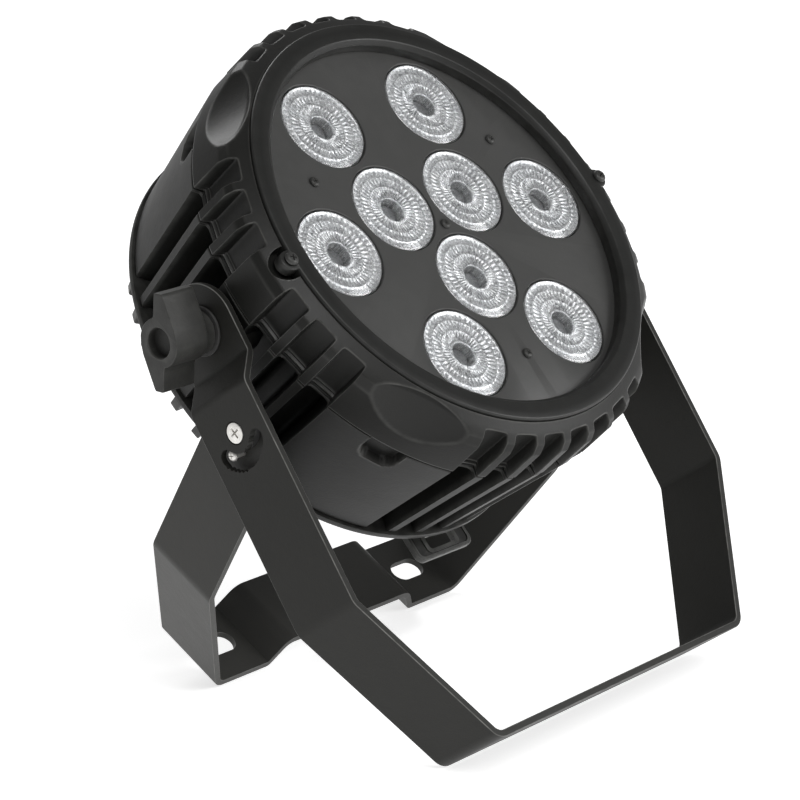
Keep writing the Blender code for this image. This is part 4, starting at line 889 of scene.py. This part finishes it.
# ------------------------------------------------------------------ bent strips: cut flat, then bent
class Bend:
    """Maps (s, y, h), along, across and through the strip, onto a path of lines and arcs in XZ."""

    def __init__(self, pts, radii):
        self.seg = []
        s = 0.0
        p = [Vector(x) for x in pts]
        cur = p[0]
        for i in range(1, len(p)):
            a = (p[i] - p[i - 1]).normalized()
            if i < len(p) - 1:
                b = (p[i + 1] - p[i]).normalized()
                turn = math.atan2(a.x * b.y - a.y * b.x, a.dot(b))
                r = radii[i]
                t = r * math.tan(abs(turn) / 2)
                end = p[i] - a * t
            else:
                turn, r, end = 0.0, 0.0, p[i]
            L = (end - cur).length
            self.seg.append(("line", s, s + L, cur.copy(), a.copy()))
            s += L
            cur = end
            if turn:
                nn = Vector((-a.y, a.x))
                side = 1.0 if turn > 0 else -1.0
                c = cur + nn * r * side
                L = r * abs(turn)
                self.seg.append(("arc", s, s + L, c, a.copy(), r, side, turn))
                s += L
                cur = p[i] + b * t
        self.total = s

    def at(self, s, h):
        for g in self.seg:
            if s <= g[2] + 1e-9 or g is self.seg[-1]:
                break
        if g[0] == "line":
            a = g[4]
            nn = Vector((-a.y, a.x))
            return g[3] + a * (s - g[1]) + nn * h
        _, s0, s1, c, a, r, side, turn = g
        an = turn * (s - s0) / (s1 - s0)
        d = Matrix.Rotation(an, 2) @ a
        nn = Vector((-d.y, d.x))
        return c - nn * r * side + nn * h

    def s_at_z(self, z, k):
        """Distance along the path to height z on its k-th straight."""
        g = [x for x in self.seg if x[0] == "line"][k]
        return g[1] + (z - g[3].y) / g[4].y

    def stations(self):
        out = []
        for g in self.seg:
            n = max(1, int(round((g[2] - g[1]) / (9.0 if g[0] == "line" else 0.8))))
            out += [g[1] + (g[2] - g[1]) * i / n for i in range(n + 1)]
        return sorted(set(round(x, 5) for x in out))


def strip(name, bend, s0, s1, half, tk, end_r, holes=(), late=(), edge=0.42):
    arcn = 40
    o = [(s0 + end_r - end_r * math.sin(rad(a)), -half * 0 - end_r * math.cos(rad(a))) for a in np.linspace(0, 180, arcn)]
    o = [(x, y) for x, y in o]
    o2 = [(s1 - end_r + end_r * math.sin(rad(a)), end_r * math.cos(rad(a))) for a in np.linspace(0, 180, arcn)]
    flat = prism(name, o + o2, 0.0, tk)
    if holes:
        boolean(flat, *holes)
    bm = bmesh.new()
    bm.from_mesh(flat.data)
    bmesh.ops.dissolve_limit(bm, angle_limit=rad(0.5), verts=bm.verts, edges=bm.edges)
    es = [e for e in bm.edges if len(e.link_faces) == 2 and e.calc_face_angle(0) > rad(50)
          and abs(e.verts[0].co.z - e.verts[1].co.z) < 1e-4]
    bmesh.ops.bevel(bm, geom=es, offset=edge, segments=3, profile=0.5, affect="EDGES", clamp_overlap=True)
    bm.to_mesh(flat.data)
    bm.free()
    if late:
        boolean(flat, *late)
    bm = bmesh.new()
    bm.from_mesh(flat.data)
    for s in bend.stations():
        if s0 + 0.5 < s < s1 - 0.5:
            g = bm.verts[:] + bm.edges[:] + bm.faces[:]
            bmesh.ops.bisect_plane(bm, geom=g, dist=1e-4, plane_co=(s, 0, 0), plane_no=(1, 0, 0))
    for v in bm.verts:
        x, y, h = v.co
        q = bend.at(x, h)
        v.co = (q.x, y, q.y)
    bmesh.ops.recalc_face_normals(bm, faces=bm.faces)
    bm.to_mesh(flat.data)
    bm.free()
    return flat


def cyl(r, h0, h1, x, y, segs=48):
    return at(turned("c", [(0, h0), (r, h0), (r, h1), (0, h1)], segs), x, y)


def arc_slot(cs, sign):
    """Toothed arc slot about (cs, 0) in the flat; sign +1 where s runs down the arm, -1 where it runs up."""
    def pt(rr, aa):
        return cs + sign * rr * math.cos(rad(aa)), -rr * math.sin(rad(aa))
    r0, r1, a0, a1 = 8.6, 15.8, -55.0, 58.0
    rm, h = (r0 + r1) / 2, (r1 - r0) / 2

    def tooth(a, lo, hi, step):
        if not lo < a < hi:
            return 0.0
        u = ((a - lo) / step) % 1.0
        return 0.85 * (1.0 - abs(2.0 * u - 1.0))
    out = []
    n = 130
    for i in range(n + 1):
        a = a0 + (a1 - a0) * i / n
        out.append(pt(r1 + tooth(a, a0 + 1.0, a0 + 47.0, 8.0), a))
    for i in range(1, 16):
        b = 180.0 * i / 16
        # round end at a1
        c = (rm + h * math.cos(rad(b)), h * math.sin(rad(b)))
        ang = a1 + math.degrees(math.atan2(c[1], c[0]))
        out.append(pt(math.hypot(*c), ang))
    for i in range(n + 1):
        a = a1 + (a0 - a1) * i / n
        out.append(pt(r0 - tooth(a, a1 - 52.0, a1 - 1.0, 13.0), a))
    for i in range(1, 16):
        b = 180.0 + 180.0 * i / 16
        c = (rm + h * math.cos(rad(b)), h * math.sin(rad(b)))
        ang = a0 + math.degrees(math.atan2(c[1], c[0]))
        out.append(pt(math.hypot(*c), ang))
    return out


half = [(-117.5, 24.0), (-117.5, -17.3), (-126.7, -28.2), (-126.7, -128.9), (-85.8, -202.0)]
pts = half + [(-x, z) for x, z in half[::-1]]
yb = Bend(pts, [0, 3, 6, 9, 8, 8, 9, 6, 3, 0])
TOT = yb.total
sp = yb.s_at_z(0.0, 0)
sf = yb.s_at_z(-44.77, 2)
holes, late = [], []
for s, sg in ((sp, 1), (TOT - sp, -1)):
    holes.append(cyl(4.6, -2, 6, s, 0))
for s, sg in ((sf, 1), (TOT - sf, -1)):
    late.append(at(turned("c", [(0, -3), (5.15, -3), (5.0, -0.15), (4.85, 0.4), (2.9, 2.35), (2.9, 8), (0, 8)], 48), s, 0))
    late.append(prism("slot", arc_slot(s, sg), -3, 8))
yoke = strip("vis_front_yoke", yb, yb.s_at_z(19.75, 0), TOT - yb.s_at_z(19.75, 0), 18.75, 3.0, 18.75, holes, late)
place(yoke, YOKE, "yoke", "front_yoke", M_YOKE, "front_yoke", sharp=34, weighted=True, wear_and_highlight=0.6, top=1.0, low=0.45)

BASE_S = (P2.z / MM - 18.75 * math.sin(STAND_LEAN)) / math.cos(STAND_LEAN)
half = [(-119.0, 24.0), (-119.0, -81.5), (-82.0, -BASE_S), (-48.0, -BASE_S), (-40.0, -BASE_S + 11.0)]
pts = half + [(-x, z) for x, z in half[::-1]]
sb = Bend(pts, [0, 9, 8, 3.2, 6.2, 6.2, 3.2, 8, 9, 0])
TOT = sb.total
own = 51.0 - math.degrees(YOKE_LEAN + STAND_LEAN)
sy, sz = 11.0 * math.sin(rad(own)), -11.0 * math.cos(rad(own))
holes = []
base_lines = [g for g in sb.seg if g[0] == "line"]
g = base_lines[2]
s_slot = g[1] + ((-65.0) - g[3].x)
for s, sg in ((s_slot, 1), (TOT - s_slot, -1)):
    o = arc(s + 4.0, 0, 5.5, -90, 90, 20) + arc(s - 4.0, 0, 5.5, 90, 270, 20)
    holes.append(prism("slot", o, -3, 8))
for s, sg in ((sb.s_at_z(0, 0), 1), (TOT - sb.s_at_z(0, 0), -1)):
    holes.append(cyl(2.8, -2, 6, s, 0))
for s, sg in ((sb.s_at_z(sz, 0), 1), (TOT - sb.s_at_z(sz, 0), -1)):
    holes.append(cyl(1.8, -2, 6, s, sy, 24))
stand = strip("vis_rear_stand", sb, sb.s_at_z(10.25, 0), TOT - sb.s_at_z(10.25, 0), 18.75, 3.0, 18.75, holes)
place(stand, STAND, "stand", "rear_stand", M_STAND, "rear_stand", sharp=34, weighted=True, wear_and_highlight=0.6, top=1.2, low=0.45)

# fold screws, spacers, stop screws, washers
src = screw("s5", 4.4, 2.1, 2.5, 126.7 - 116.3, flush=True, cross=2.7)
for s, side in ((-1, "left"), (1, "right")):
    m = FOLD @ T(s * 126.7, 0, 0) @ Matrix.Rotation(s * math.pi / 2, 4, "Y") @ Matrix.Rotation(rad(12), 4, "Z")
    put_screw(src, "vis_fold_screw_" + side, m, "yoke", "steel_screw", M_STEEL, "fold_screw_" + side)
    o = turned("vis_fold_spacer_" + side, [(7.4, 119.6), (7.4, 123.1), (7.1, 123.4), (2.8, 123.4), (2.8, 119.3), (7.1, 119.3)], 72)
    if s < 0:
        moved(o, Matrix.Diagonal((1, 1, -1, 1)))
    moved(o, ALONG_X)
    place(o, FOLD, "yoke", "fold_spacer", M_SPACER, "fold_spacer_" + side, sharp=40)
    o = turned("vis_tilt_washer_" + side, [(10.6, 118.0), (10.6, 118.8), (10.4, 119.0), (4.4, 119.0), (4.4, 117.8), (10.4, 117.8)], 72)
    if s < 0:
        moved(o, Matrix.Diagonal((1, 1, -1, 1)))
    moved(o, ALONG_X)
    place(o, YOKE, "yoke", "tilt_washer", M_WASHER, "tilt_washer_" + side, sharp=40)
bpy.data.objects.remove(src, do_unlink=True)
src = turned("s6", [(0, 6.6), (1.1, 6.55), (1.75, 6.35), (2.15, 5.95), (2.34, 5.4), (2.36, 4.9), (2.28, 4.72), (1.45, 4.7), (1.45, -3.0), (0, -3.0)], 48)
boolean(src, cross_cutter(1.35, 6.5, 1.2))
for s, side in ((-1, "left"), (1, "right")):
    m = STAND @ T(s * 119.3, sy, sz) @ Matrix.Rotation(s * math.pi / 2, 4, "Y") @ Matrix.Rotation(rad(40), 4, "Z")
    put_screw(src, "vis_stop_screw_" + side, m, "stand", "steel_screw", M_STEEL, "stop_screw_" + side)
bpy.data.objects.remove(src, do_unlink=True)

# ------------------------------------------------------------------ wing knobs
HUB, TIP = 10.4, 20.6


def wing_outline():
    up = arc(0, 0, HUB, 8.0, 72.0, 14)
    blade = fillet([up[-1], (2.7, 11.6), (2.25, TIP - 0.6), (1.7, TIP), (-2.1, TIP), (-2.85, TIP - 0.9), (-9.0, 6.4), (-10.2, 2.0)],
                   [0, 1.6, 0.6, 0.4, 0.6, 1.6, 6.0, 0], 4)
    up += blade[1:]
    return up + [(-x, -y) for x, y in up]


for s, side in ((-1, "left"), (1, "right")):
    k = prism("vis_tilt_knob_" + side, wing_outline(), 125.0, 143.0, 1.0, 3)
    neck = turned("n", [(0, 119.3), (8.9, 119.3), (9.3, 119.7), (9.3, 124.2), (9.6, 124.8), (9.9, 126.5), (0, 126.5)], 64)
    ringo = turned("r", [(0, 139.0), (6.1, 139.0), (6.2, 139.3), (6.3, 142.5), (6.9, 143.2), (7.4, 144.5), (0, 144.5)], 64)
    bore = turned("b", [(0, 112), (4.3, 112), (4.3, 136.3), (0, 136.3)], 32)
    boolean(k, neck, op="UNION")
    boolean(k, ringo, bore)
    m = Matrix.Diagonal((1, 1, -1, 1)) if s < 0 else Matrix.Diagonal((-1, 1, 1, 1))
    moved(k, m)
    moved(k, ALONG_X)
    place(k, KNOBS, "knob_" + side, "wing_knob", M_KNOB, "tilt_knob_" + side, sharp=36, wear_and_highlight=0.6, weighted=True)

# ------------------------------------------------------------------ CAD nodes that stay as they are
for nm, mat in (("led_board", M_LEDPCB), ("power_supply", M_CASE), ("control_board", M_PCB), ("tilt_stud_left", M_STUD), ("tilt_stud_right", M_STUD)):
    o = frame["nodes"][nm]
    edge = o.data.attributes.get("edge_wear")
    if edge is None:
        edge_wear(o.data, 0.8)
    for i in range(len(o.material_slots)):
        o.material_slots[i].material = mat

# ------------------------------------------------------------------ studio
def floor_material():
    m, nt, b, tc = tree("studio_floor")
    v = tc.outputs["Object"]
    n = noise(nt, v, 3.0, 2.0, 0.5)
    nt.links.new(mixc(nt, n, (0.86, 0.86, 0.86), (0.88, 0.88, 0.88)), b.inputs["Base Color"])
    b.inputs["Roughness"].default_value = 0.9
    b.inputs["Specular IOR Level"].default_value = 0.1
    b.inputs["Emission Color"].default_value = (1, 1, 1, 1)
    b.inputs["Emission Strength"].default_value = 0.66
    return m


bm = bmesh.new()
bmesh.ops.create_circle(bm, cap_ends=True, segments=128, radius=14.0)
floor = bm_obj("studio_floor", bm, 0)
floor.location = (0, 0, -0.0004)
floor.data.materials.append(floor_material())
if floor.data.polygons[0].normal.z < 0:
    floor.data.flip_normals()

w = bpy.data.worlds.new("studio")
bpy.context.scene.world = w
w.use_nodes = True
bg = w.node_tree.nodes["Background"]
bg.inputs["Color"].default_value = (1.0, 1.0, 1.0, 1.0)
bg.inputs["Strength"].default_value = 0.24


def area(name, loc, aim, size, size_y, energy, color=(1, 1, 1)):
    l = bpy.data.lights.new(name, "AREA")
    l.shape = "RECTANGLE"
    l.size, l.size_y, l.energy, l.color = size, size_y, energy, color
    o = bpy.data.objects.new(name, l)
    bpy.context.scene.collection.objects.link(o)
    o.location = loc
    o.rotation_euler = (Vector(aim) - Vector(loc)).to_track_quat("-Z", "Y").to_euler()
    return o


area("key", (-0.5, -1.5, 1.9), (0, 0, 0.15), 1.3, 1.0, 22)
area("fill", (1.3, -1.7, 0.8), (0, 0, 0.15), 1.3, 0.9, 22)
area("back", (0.6, 1.6, 1.4), (0, 0, 0.15), 1.2, 0.8, 12)

# ------------------------------------------------------------------ camera
cam = bpy.data.cameras.new("camera")
cam.lens, cam.sensor_width = 135.9, 36.0
cam.clip_start, cam.clip_end = 0.05, 60.0
co = bpy.data.objects.new("camera", cam)
bpy.context.scene.collection.objects.link(co)
co.location = (-0.9687, -0.8235, 0.4991)
co.rotation_euler = (Vector((-0.02226, -0.01119, 0.12923)) - Vector(co.location)).to_track_quat("-Z", "Y").to_euler()
bpy.context.scene.camera = co

vs = bpy.context.scene.view_settings
vs.view_transform = "Standard"
vs.look = "None"
vs.exposure = 0.0
